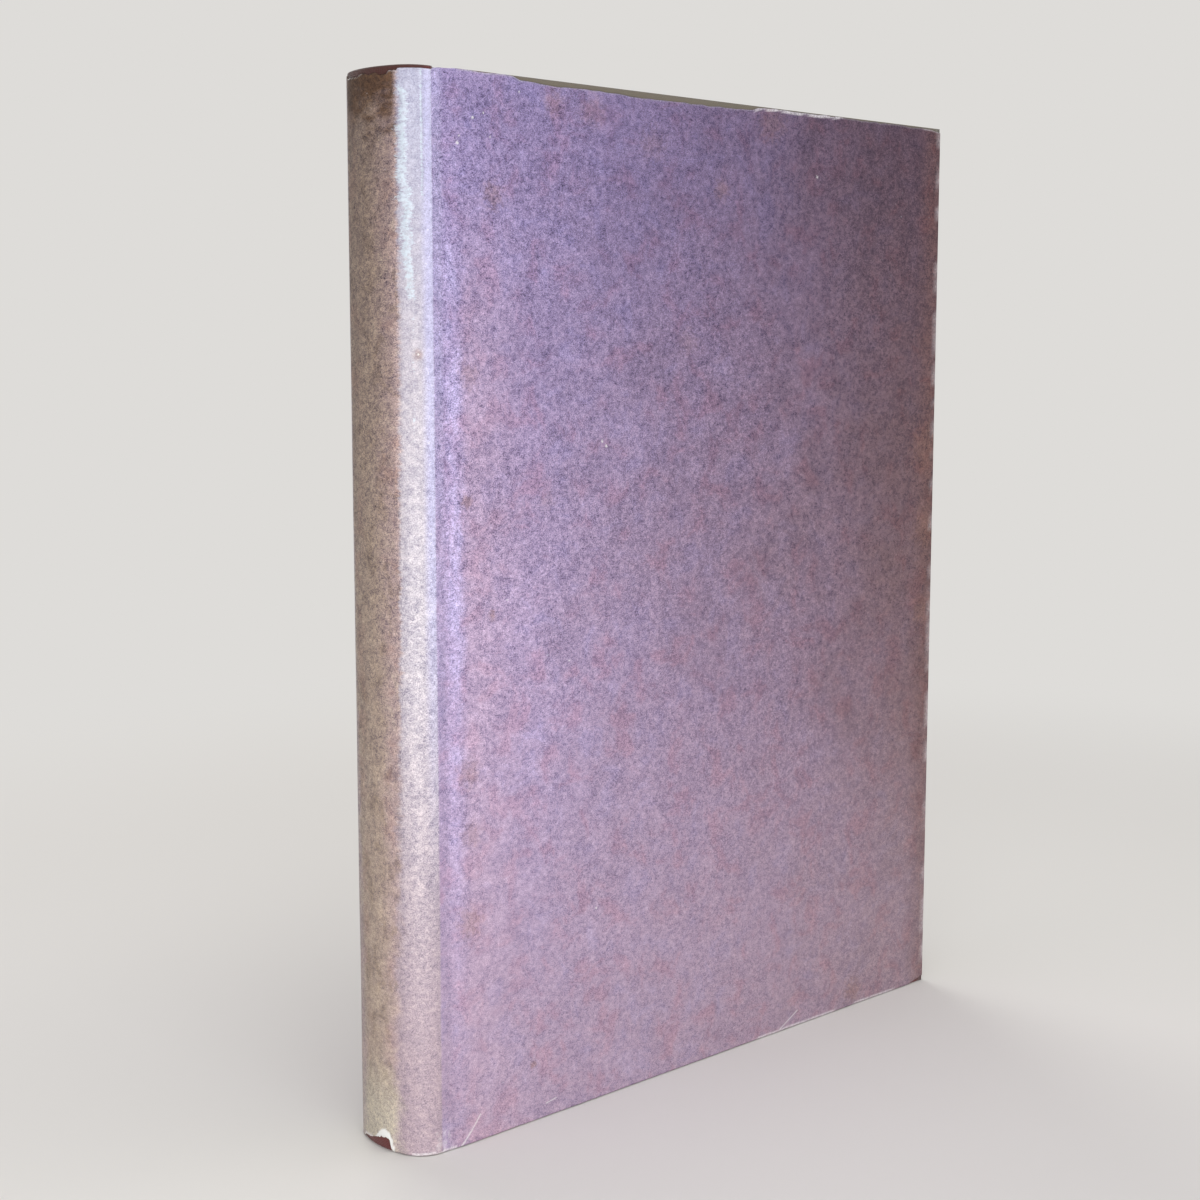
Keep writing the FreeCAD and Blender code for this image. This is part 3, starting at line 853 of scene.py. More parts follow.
def rows_between(low, high, fine, coarse, fine_low, fine_high):
    """Heights from low to high, close together near both ends."""
    heights = [low]
    while heights[-1] < high - 1e-6:
        z = heights[-1]
        near = z - low < fine_low or high - z < fine_high + coarse
        heights.append(min(high, z + (fine if near else coarse)))
    if high - heights[-2] < fine * 0.5:
        heights.pop(-2)
    return heights


def closer(heights, low, high):
    """The heights with one more between each two that lie from low to high."""
    found = []
    for z0, z1 in zip(heights, heights[1:]):
        found.append(z0)
        if low < z0 < high:
            found.append((z0 + z1) / 2)
    return found + heights[-1:]


def bump_shape(value, low, high, soft):
    """1 between low and high, falling to 0 over soft outside them."""
    rise = min(1.0, max(0.0, (value - low + soft) / soft))
    fall = min(1.0, max(0.0, (high + soft - value) / soft))
    return rise * rise * (3 - 2 * rise) * fall * fall * (3 - 2 * fall)


def bell(value, width):
    return math.exp(-((value / width) ** 2))


def at_noise(x, y, z):
    return noise.noise(Vector((x, y, z)))


def polyline(points, x):
    """Height of an outline of (x, height) points at x, 0 outside them."""
    for (x0, y0), (x1, y1) in zip(points, points[1:]):
        if x0 <= x <= x1:
            return y0 + (y1 - y0) * (x - x0) / (x1 - x0)
    return 0.0


# Losses at the jacket's edges, in millimetres: place along the edge and depth of the loss
TAIL_CHIP = ((-3.9, 0.0), (-3.6, 2.2), (-2.6, 2.8), (-0.8, 2.6), (0.6, 2.1), (2.2, 1.7), (3.6, 1.2),
             (5.5, 0.9), (7.1, 0.7), (7.4, 0.0))
TORN_CORE = ((-4.7, 0.8), (-4.3, 3.2), (-3.2, 4.5), (-1.7, 5.1), (-0.6, 4.6), (0.5, 3.5), (1.6, 2.3),
             (3.0, 1.5))
HEAD_CHIP = ((-9.0, 0.0), (-8.2, 0.25), (-6.9, 0.3), (-6.4, 0.9), (-5.0, 1.1), (-3.4, 0.5), (-1.2, 0.8),
             (0.8, 0.4), (3.0, 0.9), (5.2, 0.6), (7.4, 0.9), (8.8, 0.0))
HEAD_LINE = ((-1.0, 0.0), (0.6, -0.35), (2.0, -0.65), (22.0, -0.7), (24.5, 0.15), (33.0, 0.55), (47.0, 0.35),
             (60.0, 0.75), (78.0, 0.6), (93.0, 0.7), (101.0, 0.4), (103.5, -0.55), (136.0, -0.55),
             (139.0, -0.35), (160.0, -0.4), (172.0, -0.3), (178.0, 0.4))
CORNER_CHIP = ((171.0, 0.0), (174.0, 0.7), (177.8, 1.4))
# A loss is spread over this height, so that it draws the rows of the mesh with it
LOSS_ZONE = 12 * MM
JACKET_MESH_T = JACKET_T * 0.85


def ragged(value, reach):
    """Small uneven step of a torn edge."""
    return at_noise(value * 1.7, 3.1, 0.4) * reach + at_noise(value * 5.3, 1.1, 7.4) * reach * 0.5


class JacketSheet:
    """Half of the dust jacket as a grid of stations along its outline and rows up its height."""

    def __init__(self, name, side, with_spine):
        s = sizes()
        self.name = name
        self.side = side
        self.with_spine = with_spine
        spine = spine_points(0.0, s.fine_step) if with_spine else [(0.0, RIDGE_H)]
        self.points = spine + jacket_cover_points()
        self.ridge = len(spine) - 1
        self.rows = rows_between(TAIL_Z, HEAD_Z, s.fine_step, s.paper_step, 7.5 * MM, 4.0 * MM)
        if with_spine:
            self.rows = closer(self.rows, 192 * MM, 236 * MM)

    def loss(self, i):
        """(tail loss, head loss) at a station, in metres."""
        u, h = self.points[i]
        tail = head = 0.0
        if i <= self.ridge and self.with_spine:
            y = -h / MM
            tail = polyline(TAIL_CHIP, y)
            head = polyline(HEAD_CHIP, y)
            tail += max(0.0, tail and ragged(y, 0.5))
            head += max(0.0, head and ragged(y + 9, 0.5))
        elif self.side == FRONT and h > FACE_H - 2 * MM:
            at = u / MM
            head = polyline(HEAD_LINE, at) + (ragged(at, 0.22) if at > 24 else 0.0)
            tail = polyline(CORNER_CHIP, at)
        head += max(0.0, 0.25 * at_noise(u / MM / 6, h / MM / 6, self.side * 3.3))
        tail += max(0.0, 0.15 * at_noise(u / MM / 5, h / MM / 5, self.side * 5.1))
        return tail * MM, head * MM

    def relief(self, i, z):
        """How far the paper stands out of its plain outline, in metres."""
        u, h = self.points[i]
        x, y, up = u / MM, h / MM, z / MM
        key = self.side * 11.0
        if i > self.ridge and h < FACE_H - 2 * MM and u > 2 * GROOVE_U:
            return 0.0
        if i <= self.ridge and self.with_spine:
            lift = 0.10 * (at_noise(x / 5, y / 4, up / 22) + 0.6)
            if y > 0:
                jag = at_noise(x * 0.9, y * 0.4, up / 3.1)
                jag += 0.5 * at_noise(x * 1.8, y, up / 1.3)
                lift += 0.34 * self.crumpled_and_highlit(i, z) * (jag + 0.5)
                edge = bell(x + 6.6, 0.35) * bump_shape(up, -1, 241, 10)
                lift += 0.12 * edge * (0.7 + 0.6 * at_noise(0.0, 4.0, up / 6))
            lift += 0.22 * (bump_shape(-y, -4.4, 1.2, 0.8) * bump_shape(up, 1.0, 3.6, 1.0))
            return max(0.0, lift) * MM
        if u < GROOVE_U:
            sway = at_noise(key, 2.0, up / 17) + 0.5 * at_noise(key, 5.0, up / 5)
            # The sheet lies nearly flat over the groove at its two ends
            ends = max(bump_shape(up, -1, 2.5, 14), 0.7 * bump_shape(up, 237, 241, 12))
            sag = sizes().groove_sag / MM * 0.8 * ends + 0.16 * sway * (1 - ends)
            return sag * math.sin(math.pi * u / GROOVE_U) ** 2 * MM
        wave = at_noise(x / 34, key, up / 48) + 0.5 * at_noise(x / 12, key, up / 19)
        near = bump_shape(x, GROOVE_U / MM, 14, 6) * at_noise(x / 4, key, up / 9)
        calm = min(1.0, max(0.0, (COVER_U - u) / (8 * MM)))
        return max(0.0, 0.10 * (wave + 0.6) + 0.10 * near) * calm * MM

    def crumpled_and_highlit(self, i, z):
        """How wrinkled the spine's front corner is at a place, 0 to 1; the same amount sets its relief and a
        painted highlight.
        """
        u, h = self.points[i]
        x, up = u / MM, z / MM
        if not self.with_spine or i > self.ridge or h < 0:
            return 0.0
        sway = 0.5 * at_noise(0.5, up / 3.0, 2.0) + 0.35 * at_noise(1.5, up / 1.1, 6.0)
        middle = -5.7 + 0.9 * (230 - up) / 40 + sway
        width = 0.75 + 0.45 * at_noise(3.5, up / 5.0, 1.0)
        streak = bell(x - middle, max(width, 0.3)) * bump_shape(up, 193, 234, 3.5)
        lower = bell(x + 4.4 + 0.6 * sway, 0.28) * bump_shape(up, 163, 200, 12) * 0.42
        line = bell(x + 2.5 + 0.15 * sway, 0.3) * bump_shape(up, 214, 241, 4)
        return min(1.0, max(streak, lower, 0.9 * line))

    def torn(self, i, z, tail, head):
        """(white core, rubbed) amounts at a place, 0 to 1."""
        u, h = self.points[i]
        y, at, up = -h / MM, u / MM, z / MM
        core = rub = 0.0
        from_tail = (z - TAIL_Z - tail) / MM
        from_head = (HEAD_Z - head - z) / MM
        if i <= self.ridge and self.with_spine:
            outline = polyline(TORN_CORE, y) + 0.35 * at_noise(y * 1.3, 2.0, up)
            if outline > 0.5 and u < 0:
                core = min(1.0, max(0.0, (outline - up) / 0.35))
            elif tail > 0.3 * MM:
                rub = bump_shape(from_tail, -1, 0.3, 0.5)
            if from_head < 0.4 and y < -6.6:
                rub = max(rub, 0.5)
            if -12.6 < y < -9.0 and from_tail < 0.5 + 0.5 * at_noise(y, 8.0, 2.0):
                rub = max(rub, 0.9)
        elif self.side == FRONT and u > GROOVE_U and h > FACE_H - 1.5 * MM:
            if 102 < at < 137 and from_head < 0.5 + 0.3 * at_noise(at / 2, 4.0, 4.0):
                rub = 1.0
            elif at > 170 and from_head < 0.4:
                rub = 0.7
            elif at < 26 and from_head < 0.3:
                rub = 0.6
            elif from_head < 0.3:
                rub = 0.25
            if (106 < at < 139 or 147 < at < 165) and from_tail < 0.55:
                rub = 0.8
        if i > self.ridge and u < 0.6 * GROOVE_U and from_tail < 0.5:
            rub = 0.9
        scuff = at_noise(at / 0.9, up / 1.1, 4.4)
        if self.side == FRONT and abs(at - 0.8) < 2.4 and from_tail < 5.0 and scuff > 0.12:
            rub = max(rub, 0.4)
        if u > COVER_U - 1.2 * FOLD_R:
            fold = min(FACE_H - h, h - FLAP_H) / MM
            chafe = at_noise(self.side * 4.0, h / MM * 0.6, up / 5) + 0.1
            rub = max(rub, min(0.5, max(0.0, 1.6 * chafe)) * bump_shape(fold, -1, 0.1, 0.5))
        return core, rub

    def build(self):
        made = bmesh.new()
        layers = [made.verts.layers.float.new(name) for name in ("torn", "rubbed", "crumpled_and_highlit")]
        grid = []
        for i, ((u, h), (nu, nh)) in enumerate(zip(self.points, normals_of(self.points))):
            tail, head = self.loss(i)
            column = []
            for z in self.rows:
                place_z = z
                if z - TAIL_Z < LOSS_ZONE:
                    place_z += tail * (1 - (z - TAIL_Z) / LOSS_ZONE)
                if HEAD_Z - z < LOSS_ZONE:
                    place_z -= head * (1 - (HEAD_Z - z) / LOSS_ZONE)
                lift = self.relief(i, place_z)
                vert = made.verts.new((HINGE_X + u + nu * lift, self.side * (h + nh * lift), place_z))
                marks = (*self.torn(i, place_z, tail, head), self.crumpled_and_highlit(i, place_z))
                for layer, value in zip(layers, marks):
                    vert[layer] = value
                column.append(vert)
            grid.append(column)
        join_grid(made, grid, self.side)
        return sheet_object(self.name, made, JACKET_MESH_T, "Jacket paper", "Paper core")


def join_grid(made, grid, side):
    """Smooth faces between neighbouring columns of a grid of vertices, outwards on either side."""
    for left, right in zip(grid, grid[1:]):
        for a, b, c, d in zip(left, right, right[1:], left[1:]):
            made.faces.new((d, c, b, a) if side == BACK else (a, b, c, d))
    for face in made.faces:
        face.smooth = True


def linked_object(name, mesh):
    obj = bpy.data.objects.new(name, mesh)
    bpy.context.collection.objects.link(obj)
    return obj


def sheet_object(name, made, thickness, *materials):
    """The object of a bmesh, given its thickness on the inner side; the last material is the rim's."""
    mesh = bpy.data.meshes.new(name)
    made.to_mesh(mesh)
    made.free()
    obj = linked_object(name, mesh)
    for each in materials:
        mesh.materials.append(material(each))
    solid = obj.modifiers.new("Thickness", "SOLIDIFY")
    solid.thickness = thickness
    solid.offset = -1
    solid.use_rim = True
    solid.material_offset_rim = len(materials) - 1
    apply_modifiers(obj)
    return obj


def apply_modifiers(obj):
    """Replaces the object's mesh by its evaluated one."""
    graph = bpy.context.evaluated_depsgraph_get()
    made = bpy.data.meshes.new_from_object(obj.evaluated_get(graph), depsgraph=graph)
    old = obj.data
    obj.modifiers.clear()
    obj.data = made
    bpy.data.meshes.remove(old)


def across_hinge(obj):
    """Writes down a sheet's rest place, for its materials, and bakes its transform."""
    places = obj.data.attributes.new(REST_PLACE, "FLOAT_VECTOR", "POINT")
    for vertex in obj.data.vertices:
        places.data[vertex.index].vector = vertex.co
    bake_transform(obj)


# Case cloth

CLOTH_STEP = 0.7 * MM
# Thickness of the card inside the spine
CARD_T = 0.8 * MM
CLOTH_ROWS = (2.2, 5.0, 12.0, 30.0, 70.0, 120.0, 170.0, 210.0, 228.0, 235.0, 237.8)
WRAP_ROWS = 30
CLOTH_MESH_T = CLOTH_T * 0.8
NEARLY = 1e-7


def cloth_stations():
    """Outer and inner plan places of the case cloth from the back ridge to the fore-edge."""
    slope_end = sizes().groove_slope
    outer = spine_points(JACKET_T, CLOTH_STEP)
    inner = []
    thin = JACKET_T + 2 * CLOTH_T
    behind_card = spine_points(thin + CARD_T, CLOTH_STEP)
    at_ridge = spine_points(thin, CLOTH_STEP)
    for i, (u, h) in enumerate(outer):
        source = behind_card if abs(h) < INLAY_HALF + 0.6 * CLOTH_T else at_ridge
        last = len(source) - 1
        inner.append(source[min(last, round(i / (len(outer) - 1) * last))])
    ridge = len(outer) - 1
    bottom = BOARD_IN_H + CLOTH_T
    for u, h in run(0.0, RIDGE_H - JACKET_T, slope_end, bottom, CLOTH_STEP):
        outer.append((u, h))
        inner.append((max(u - 0.64 * 2 * CLOTH_T, 0.0), h - 0.76 * 2 * CLOTH_T))
    inner[-1] = (slope_end - 0.3 * CLOTH_T, TURNED_H)
    rise = CLOTH_FACE_H - CLOTH_T
    flat = run(slope_end, bottom, GROOVE_U, bottom, CLOTH_STEP)
    flat += run(GROOVE_U, bottom, GROOVE_U, rise, CLOTH_STEP)
    flat += arc(GROOVE_U + CLOTH_T, rise, CLOTH_T, 180, 90, 3)[1:]
    flat += run(*flat[-1], CLOTH_U - CLOTH_T, CLOTH_FACE_H, 4 * CLOTH_STEP)
    return outer + flat, inner + [(u, TURNED_H) for u, h in flat], ridge


def cloth_profile(outer, inner, end_z, inward):
    """Places from the outside over one end of the case to the edge of the turned-in cloth."""
    r = CLOTH_T
    width = math.hypot(outer[0] - inner[0], outer[1] - inner[1])
    du, dh = (inner[0] - outer[0]) / width, (inner[1] - outer[1]) / width
    turns = [math.radians(a) for a in (0, 30, 60, 90)]
    quarter = [(r * (1 - math.cos(a)), r * (1 - math.sin(a))) for a in turns]
    places = [(outer[0] + du * back, outer[1] + dh * back, end_z + inward * up) for back, up in quarter]
    places += [(inner[0] - du * back, inner[1] - dh * back, end_z + inward * up) for up, back in quarter]
    return places + [(*inner, end_z + inward * depth * sizes().turn_in) for depth in (0.3, 0.65, 1.0)]


def build_cloth(name, side, with_spine):
    """Case cloth of one cover, and of the spine with it, turned in at head, tail and fore-edge."""
    outer, inner, ridge = cloth_stations()
    if not with_spine:
        outer, inner = outer[ridge:], inner[ridge:]
    made = bmesh.new()
    grid = []
    for (ou, oh), (iu, ih) in zip(outer, inner):
        mitre = max(0.0, CLOTH_U - ou)
        column = []
        tail = cloth_profile((ou, oh), (iu, ih), 0.0, 1)[::-1]
        head = cloth_profile((ou, oh), (iu, ih), BOOK_Z, -1)
        middle = [(ou, oh, z * MM) for z in CLOTH_ROWS]
        for u, h, z in tail + middle + head:
            inside = h <= TURNED_H + NEARLY and ou > GROOVE_U
            if inside and z < BOOK_Z / 2:
                z = min(z, mitre + CLOTH_T)
            elif inside:
                z = max(z, BOOK_Z - mitre - CLOTH_T)
            fuzz = 0.04 * MM * at_noise(u / MM / 2, h / MM / 2, z / MM / 2)
            column.append(made.verts.new((HINGE_X + u, side * (h + fuzz), z)))
        grid.append(column)
    join_grid(made, grid, side)
    # Fore-edge wrap, mitred against the turned-in ends
    r = CLOTH_T
    wrap = [(CLOTH_U - r, CLOTH_FACE_H)]
    wrap += arc(CLOTH_U - r, CLOTH_FACE_H - r, r, 90, 0, 3)[1:]
    wrap += arc(CLOTH_U - r, TURNED_H + r, r, 0, -90, 3)
    wrap += run(*wrap[-1], CLOTH_U - sizes().turn_in, TURNED_H, 2.5 * MM)
    grid = []
    for u, h in wrap:
        clip = CLOTH_U - u if h <= TURNED_H + NEARLY else 0.0
        low, high = clip + 0.05 * MM, BOOK_Z - clip - 0.05 * MM
        heights = [low + (high - low) * i / WRAP_ROWS for i in range(WRAP_ROWS + 1)]
        grid.append([made.verts.new((HINGE_X + u, side * h, z)) for z in heights])
    join_grid(made, grid, side)
    bmesh.ops.dissolve_degenerate(made, dist=1e-6, edges=made.edges)
    obj = sheet_object(name, made, CLOTH_MESH_T, "Case cloth")
    # The folds stay inside the height of the case
    for vertex in obj.data.vertices:
        vertex.co.z = min(max(vertex.co.z, 0.0), BOOK_Z)
    return obj


# Pages and end bands, grown by geometry nodes

GEOMETRY = "NodeSocketGeometry"
WHOLE = "NodeSocketInt"
MATERIAL = "NodeSocketMaterial"


class Growth(Group):
    """A geometry nodes tree with the given inputs, which gives a mesh."""

    def __init__(self, name, wanted):
        rows = [("Geometry", GEOMETRY, None), *wanted]
        super().__init__(name, "GeometryNodeTree", rows, [("Geometry", GEOMETRY)])

    def copies(self, points, instance, name, value, kind, rotation=None):
        """Copies of an instance on points as one mesh, each with a stored value."""
        inputs = {"Points": points, "Instance": instance}
        if rotation is not None:
            inputs["Rotation"] = rotation
        copies = self.add("GeometryNodeInstanceOnPoints", inputs)
        stored = {"Geometry": copies, "Name": name, "Value": value}
        marked = self.add("GeometryNodeStoreNamedAttribute", stored, data_type=kind, domain="INSTANCE")
        flat = self.add("GeometryNodeRealizeInstances", {0: marked})
        return flat, self.add("GeometryNodeInputNamedAttribute", {"Name": name}, data_type=kind)


def gathering_tree():
    """A row of folded gatherings, each a slab bent to the round of the block."""
    g = Growth("Gatherings", (
        ("Gatherings", WHOLE, sizes().gatherings),
        ("Half thickness", FLOAT, BLOCK_HALF),
        ("Tip half", FLOAT, TIP_H),
        ("Back bulge", FLOAT, BLOCK_BULGE),
        ("Back radius", FLOAT, BLOCK_RADIUS),
        ("Fore-edge", FLOAT, FORE_U),
        ("Hollow", FLOAT, 4.2 * MM),
        ("Shoulder", FLOAT, 2.2 * MM),
        ("Tail", FLOAT, BLOCK_LOW.z),
        ("Height", FLOAT, BLOCK_HIGH.z - BLOCK_LOW.z),
        ("Unevenness", FLOAT, 0.16 * MM),
        ("Material", MATERIAL, None),
    ))
    given = g.given
    radius, tip, step = given["Back radius"], given["Tip half"], given["Unevenness"]
    slab = g.add("GeometryNodeMeshCube", {"Vertices X": 40, "Vertices Y": 5, "Vertices Z": 2})
    line = g.add("GeometryNodeMeshLine", {"Count": given["Gatherings"], "Offset": (0, 2.0, 0)})
    number = g.add("GeometryNodeInputIndex")
    flat, which = g.copies(line, slab, "gathering", number, "INT")
    x, y, z = g.parts(g.add("GeometryNodeInputPosition"))
    local_y = g.minus(y, g.times(which, 2.0))
    # A slab's folded edge is round: it is thinner at its back corners
    share = g.over(g.plus(g.plus(which, 0.5), g.times(local_y, 0.97)), given["Gatherings"])
    across = g.linear(share, 2.0, -1.0)
    root = g.maths("SQRT", g.minus(g.power(radius, 2.0), g.power(g.times(across, tip), 2.0)))
    back_u = g.minus(g.minus(radius, given["Back bulge"]), root)
    back_u = g.plus(back_u, g.times(g.power(g.times(local_y, 2.0), 2.0), 0.10 * MM))
    fore_u = g.minus(given["Fore-edge"], g.times(g.minus(1.0, g.power(across, 2.0)), given["Hollow"]))
    jitter = [g.random(-1.0, 1.0, which, seed) for seed in (3, 5, 8)]
    fore_u = g.plus(fore_u, g.times(g.minus(jitter[0], 1.0), step))
    u = g.plus(back_u, g.times(g.power(g.plus(x, 0.5), 1.8), g.minus(fore_u, back_u)))
    bent = g.span(u, g.times(given["Shoulder"], -1.0), given["Shoulder"], 1.0, 0.0)
    half = g.between(bent, given["Half thickness"], tip)
    z_share = g.plus(z, 0.5)
    up = g.plus(given["Tail"], g.times(z_share, given["Height"]))
    head_step = g.minus(g.times(jitter[1], 0.5, step), g.times(step, 0.5))
    tail_step = g.times(g.linear(jitter[2], 0.5, 0.5), step)
    up = g.plus(up, g.times(head_step, z_share))
    up = g.plus(up, g.times(tail_step, g.minus(1.0, z_share)))
    spot = g.joined(g.plus(u, HINGE_X), g.times(across, half), up)
    slabs = g.add("GeometryNodeSetPosition", {"Geometry": flat, "Position": spot})
    g.give({0: g.add("GeometryNodeSetMaterial", {"Geometry": slabs, "Material": given["Material"]})})
    return g.tree


def band_tree():
    """Thread wrapped round a core that follows the block's back."""
    g = Growth("Band wraps", (
        ("Wraps", WHOLE, 40),
        ("Radius", FLOAT, 0.0163),
        ("Half angle", FLOAT, 0.6),
        ("Bead", FLOAT, 0.8 * MM),
        ("Thread", FLOAT, 0.2 * MM),
        ("Height", FLOAT, 0.0),
        ("First material", MATERIAL, None),
        ("Second material", MATERIAL, None),
    ))
    given = g.given
    ring = g.add("GeometryNodeCurvePrimitiveCircle", {"Resolution": 10, "Radius": given["Bead"]})
    thread = g.add("GeometryNodeCurvePrimitiveCircle", {"Resolution": 5, "Radius": given["Thread"]})
    loop = g.add("GeometryNodeCurveToMesh", {"Curve": ring, "Profile Curve": thread})
    smooth = g.add("GeometryNodeSetShadeSmooth", {0: loop})
    points = g.add("GeometryNodePoints", {"Count": given["Wraps"]})
    number = g.add("GeometryNodeInputIndex")
    share = g.over(number, g.minus(given["Wraps"], 1.0))
    turn = g.plus(math.pi, g.times(g.linear(share, 2.0, -1.0), given["Half angle"]))
    x, y = (g.times(g.maths(wave, turn), given["Radius"]) for wave in ("COSINE", "SINE"))
    spot = g.joined(g.plus(x, HINGE_X + BLOCK_RADIUS - BLOCK_BULGE), y, given["Height"])
    placed = g.add("GeometryNodeSetPosition", {"Geometry": points, "Position": spot})
    lean = g.joined(math.pi / 2, g.random(-0.12, 0.12, number, 4), turn)
    odd = g.maths("MODULO", g.maths("FLOOR", g.over(number, 3.0)), 2.0)
    flat, which = g.copies(placed, smooth, "second", odd, "FLOAT", lean)
    chosen = g.add("FunctionNodeCompare", {0: which, 1: 0.5}, data_type="FLOAT", operation="GREATER_THAN")
    first = g.add("GeometryNodeSetMaterial", {"Geometry": flat, "Material": given["First material"]})
    second = {"Geometry": first, "Selection": chosen, "Material": given["Second material"]}
    g.give({0: g.add("GeometryNodeSetMaterial", second)})
    return g.tree


def grown(name, tree, values):
    """A plain mesh object made by a geometry nodes tree with its inputs set by name."""
    obj = linked_object(name, bpy.data.meshes.new(name))
    modifier = obj.modifiers.new(tree.name, "NODES")
    modifier.node_group = tree
    for item in tree.interface.items_tree:
        if item.item_type == "SOCKET" and item.in_out == "INPUT" and item.name in values:
            modifier[item.identifier] = values[item.name]
    apply_modifiers(obj)
    return obj


BAND_BEAD = 0.72 * MM
BAND_RADIUS = BLOCK_RADIUS + 0.3 * MM - BAND_BEAD


def band_values(z):
    return {
        "Wraps": sizes().band_wraps,
        "Radius": BAND_RADIUS,
        "Half angle": math.asin((BAND_HALF - 0.1 * MM) / BAND_RADIUS),
        "Bead": 0.55 * MM,
        "Thread": 0.21 * MM,
        "Height": z,
        "First material": material("Band red"),
        "Second material": material("Band cream"),
    }


# Endpapers at the joint

FOLD_ROWS = 60
FOLD_MESH_T = 0.08 * MM


def endpaper_hinge(name, side):
    """The fold of an endpaper over the joint, from the page shoulder to the pastedown."""
    outline = [(LEAF_LOW.x - HINGE_X + 0.1 * MM, -LEAF_LOW.y + 0.10 * MM)]
    low = BLOCK_HALF + 0.25 * MM
    outline += run(*outline[0], sizes().groove_slope - 0.9 * MM, low, 0.25 * MM)
    outline += run(*outline[-1], 0.9 * GROOVE_U, low, 0.5 * MM)
    made = bmesh.new()
    low_z, high_z = BLOCK_LOW.z + 0.2 * MM, BLOCK_HIGH.z - 0.2 * MM
    heights = [low_z + (high_z - low_z) * i / FOLD_ROWS for i in range(FOLD_ROWS + 1)]
    grid = [[made.verts.new((HINGE_X + u, side * h, z)) for z in heights] for u, h in outline]
    join_grid(made, grid, side)
    obj = sheet_object(name, made, FOLD_MESH_T, "Endpaper")
    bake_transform(obj)


# Operators


class BOOK_OT_materials(bpy.types.Operator):
    """Build the shader groups and the materials"""

    bl_idname = "book.materials"
    bl_label = "Materials"

    def execute(self, context):
        build_materials()
        return {"FINISHED"}


class BOOK_OT_stage(bpy.types.Operator):
    """Make the floor, the lamps and the camera"""

    bl_idname = "book.stage"
    bl_label = "Floor, lamps and camera"

    def execute(self, context):
        context.scene.view_settings.view_transform = "Standard"
        make_floor()
        make_world(context.scene)
        make_lamps()
        make_camera(context.scene)
        return {"FINISHED"}


class BOOK_OT_jacket(bpy.types.Operator):
    """Wrap the paper dust jacket round the book"""

    bl_idname = "book.jacket"
    bl_label = "Dust jacket"

    def execute(self, context):
        front = JacketSheet("jacket_front_and_spine", FRONT, True).build()
        across_hinge(front)
        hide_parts("jacket_front", "jacket_spine")
        back = JacketSheet("jacket_back_cover", BACK, False).build()
        across_hinge(back)
        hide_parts("jacket_back")
        return {"FINISHED"}


class BOOK_OT_case(bpy.types.Operator):
    """Cover the case in cloth, turned in round the boards"""

    bl_idname = "book.case"
    bl_label = "Cloth case"

    def execute(self, context):
        front = build_cloth("case_cloth_front_and_spine", FRONT, True)
        across_hinge(front)
        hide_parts("cloth_front", "cloth_spine")
        back = build_cloth("case_cloth_back_cover", BACK, False)
        across_hinge(back)
        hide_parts("cloth_back")
        return {"FINISHED"}


class BOOK_OT_pages(bpy.types.Operator):
    """Fill the case with sewn gatherings of pages"""

    bl_idname = "book.pages"
    bl_label = "Pages"

    def execute(self, context):
        values = {"Gatherings": sizes().gatherings, "Material": material("Page edges")}
        block = grown("page_gatherings", gathering_tree(), values)
        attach(block, "book_block")
        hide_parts("text_block")
        return {"FINISHED"}


class BOOK_OT_bands(bpy.types.Operator):
    """Wrap the end bands with two colours of thread"""

    bl_idname = "book.bands"
    bl_label = "End bands"

    def execute(self, context):
        tree = band_tree()
        places = {"head_band_wraps": BLOCK_HIGH.z + BAND_BEAD, "tail_band_wraps": BLOCK_LOW.z - BAND_BEAD}
        for name, z in places.items():
            wraps = grown(name, tree, band_values(z))
            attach(wraps, "book_block")
        return {"FINISHED"}


class BOOK_OT_endpapers(bpy.types.Operator):
    """Fold the endpapers over the joints"""

    bl_idname = "book.endpapers"
    bl_label = "Endpaper folds"

    def execute(self, context):
        endpaper_hinge("front_endpaper_fold", FRONT)
        endpaper_hinge("back_endpaper_fold", BACK)
        return {"FINISHED"}


FINISHES = {
    "Endpaper": ("front_flyleaf", "back_flyleaf", "front_pastedown", "back_pastedown"),
    "Board": ("front_board", "back_board", "spine_inlay"),
    "Mull": ("mull_spine", "mull_front_flange", "mull_back_flange"),
    "Kraft paper": ("spine_lining",),
    "Sewing thread": ("sewing_thread",),
    "Band cream": ("head_band", "tail_band"),
}


class BOOK_OT_finishes(bpy.types.Operator):
    """Give the solids that stay in view their materials"""

    bl_idname = "book.finishes"
    bl_label = "Finishes of the solids"

    def execute(self, context):
        for name, nodes in FINISHES.items():
            for node in nodes:
                slots = frame["nodes"][node].data.materials
                slots.clear()
                slots.append(material(name))
        return {"FINISHED"}


class BOOK_PT_panel(bpy.types.Panel):
    """Lists the steps and the sizes of the book"""

    bl_idname = "BOOK_PT_panel"
    bl_label = "Hardback book"
    bl_space_type = "VIEW_3D"
    bl_region_type = "UI"
    bl_category = "Book"

    def draw(self, context):
        for step in STEPS:
            self.layout.operator("book." + step)
        for group in (context.scene.book_sizes, context.scene.book_colours):
            for key in group.bl_rna.properties.keys():
                if key not in ("rna_type", "name"):
                    self.layout.prop(group, key)


# Stage

BACKGROUND = shade(222, 220, 217)
SKY = (0.97, 0.97, 1.0)
SKY_STRENGTH = 0.30
FLOOR_REACH = 8.0
FLOOR_MIDDLE = (0.06, 0.05, 0.0)
FLOOR_NEAR = 0.22
FLOOR_FAR = 0.52


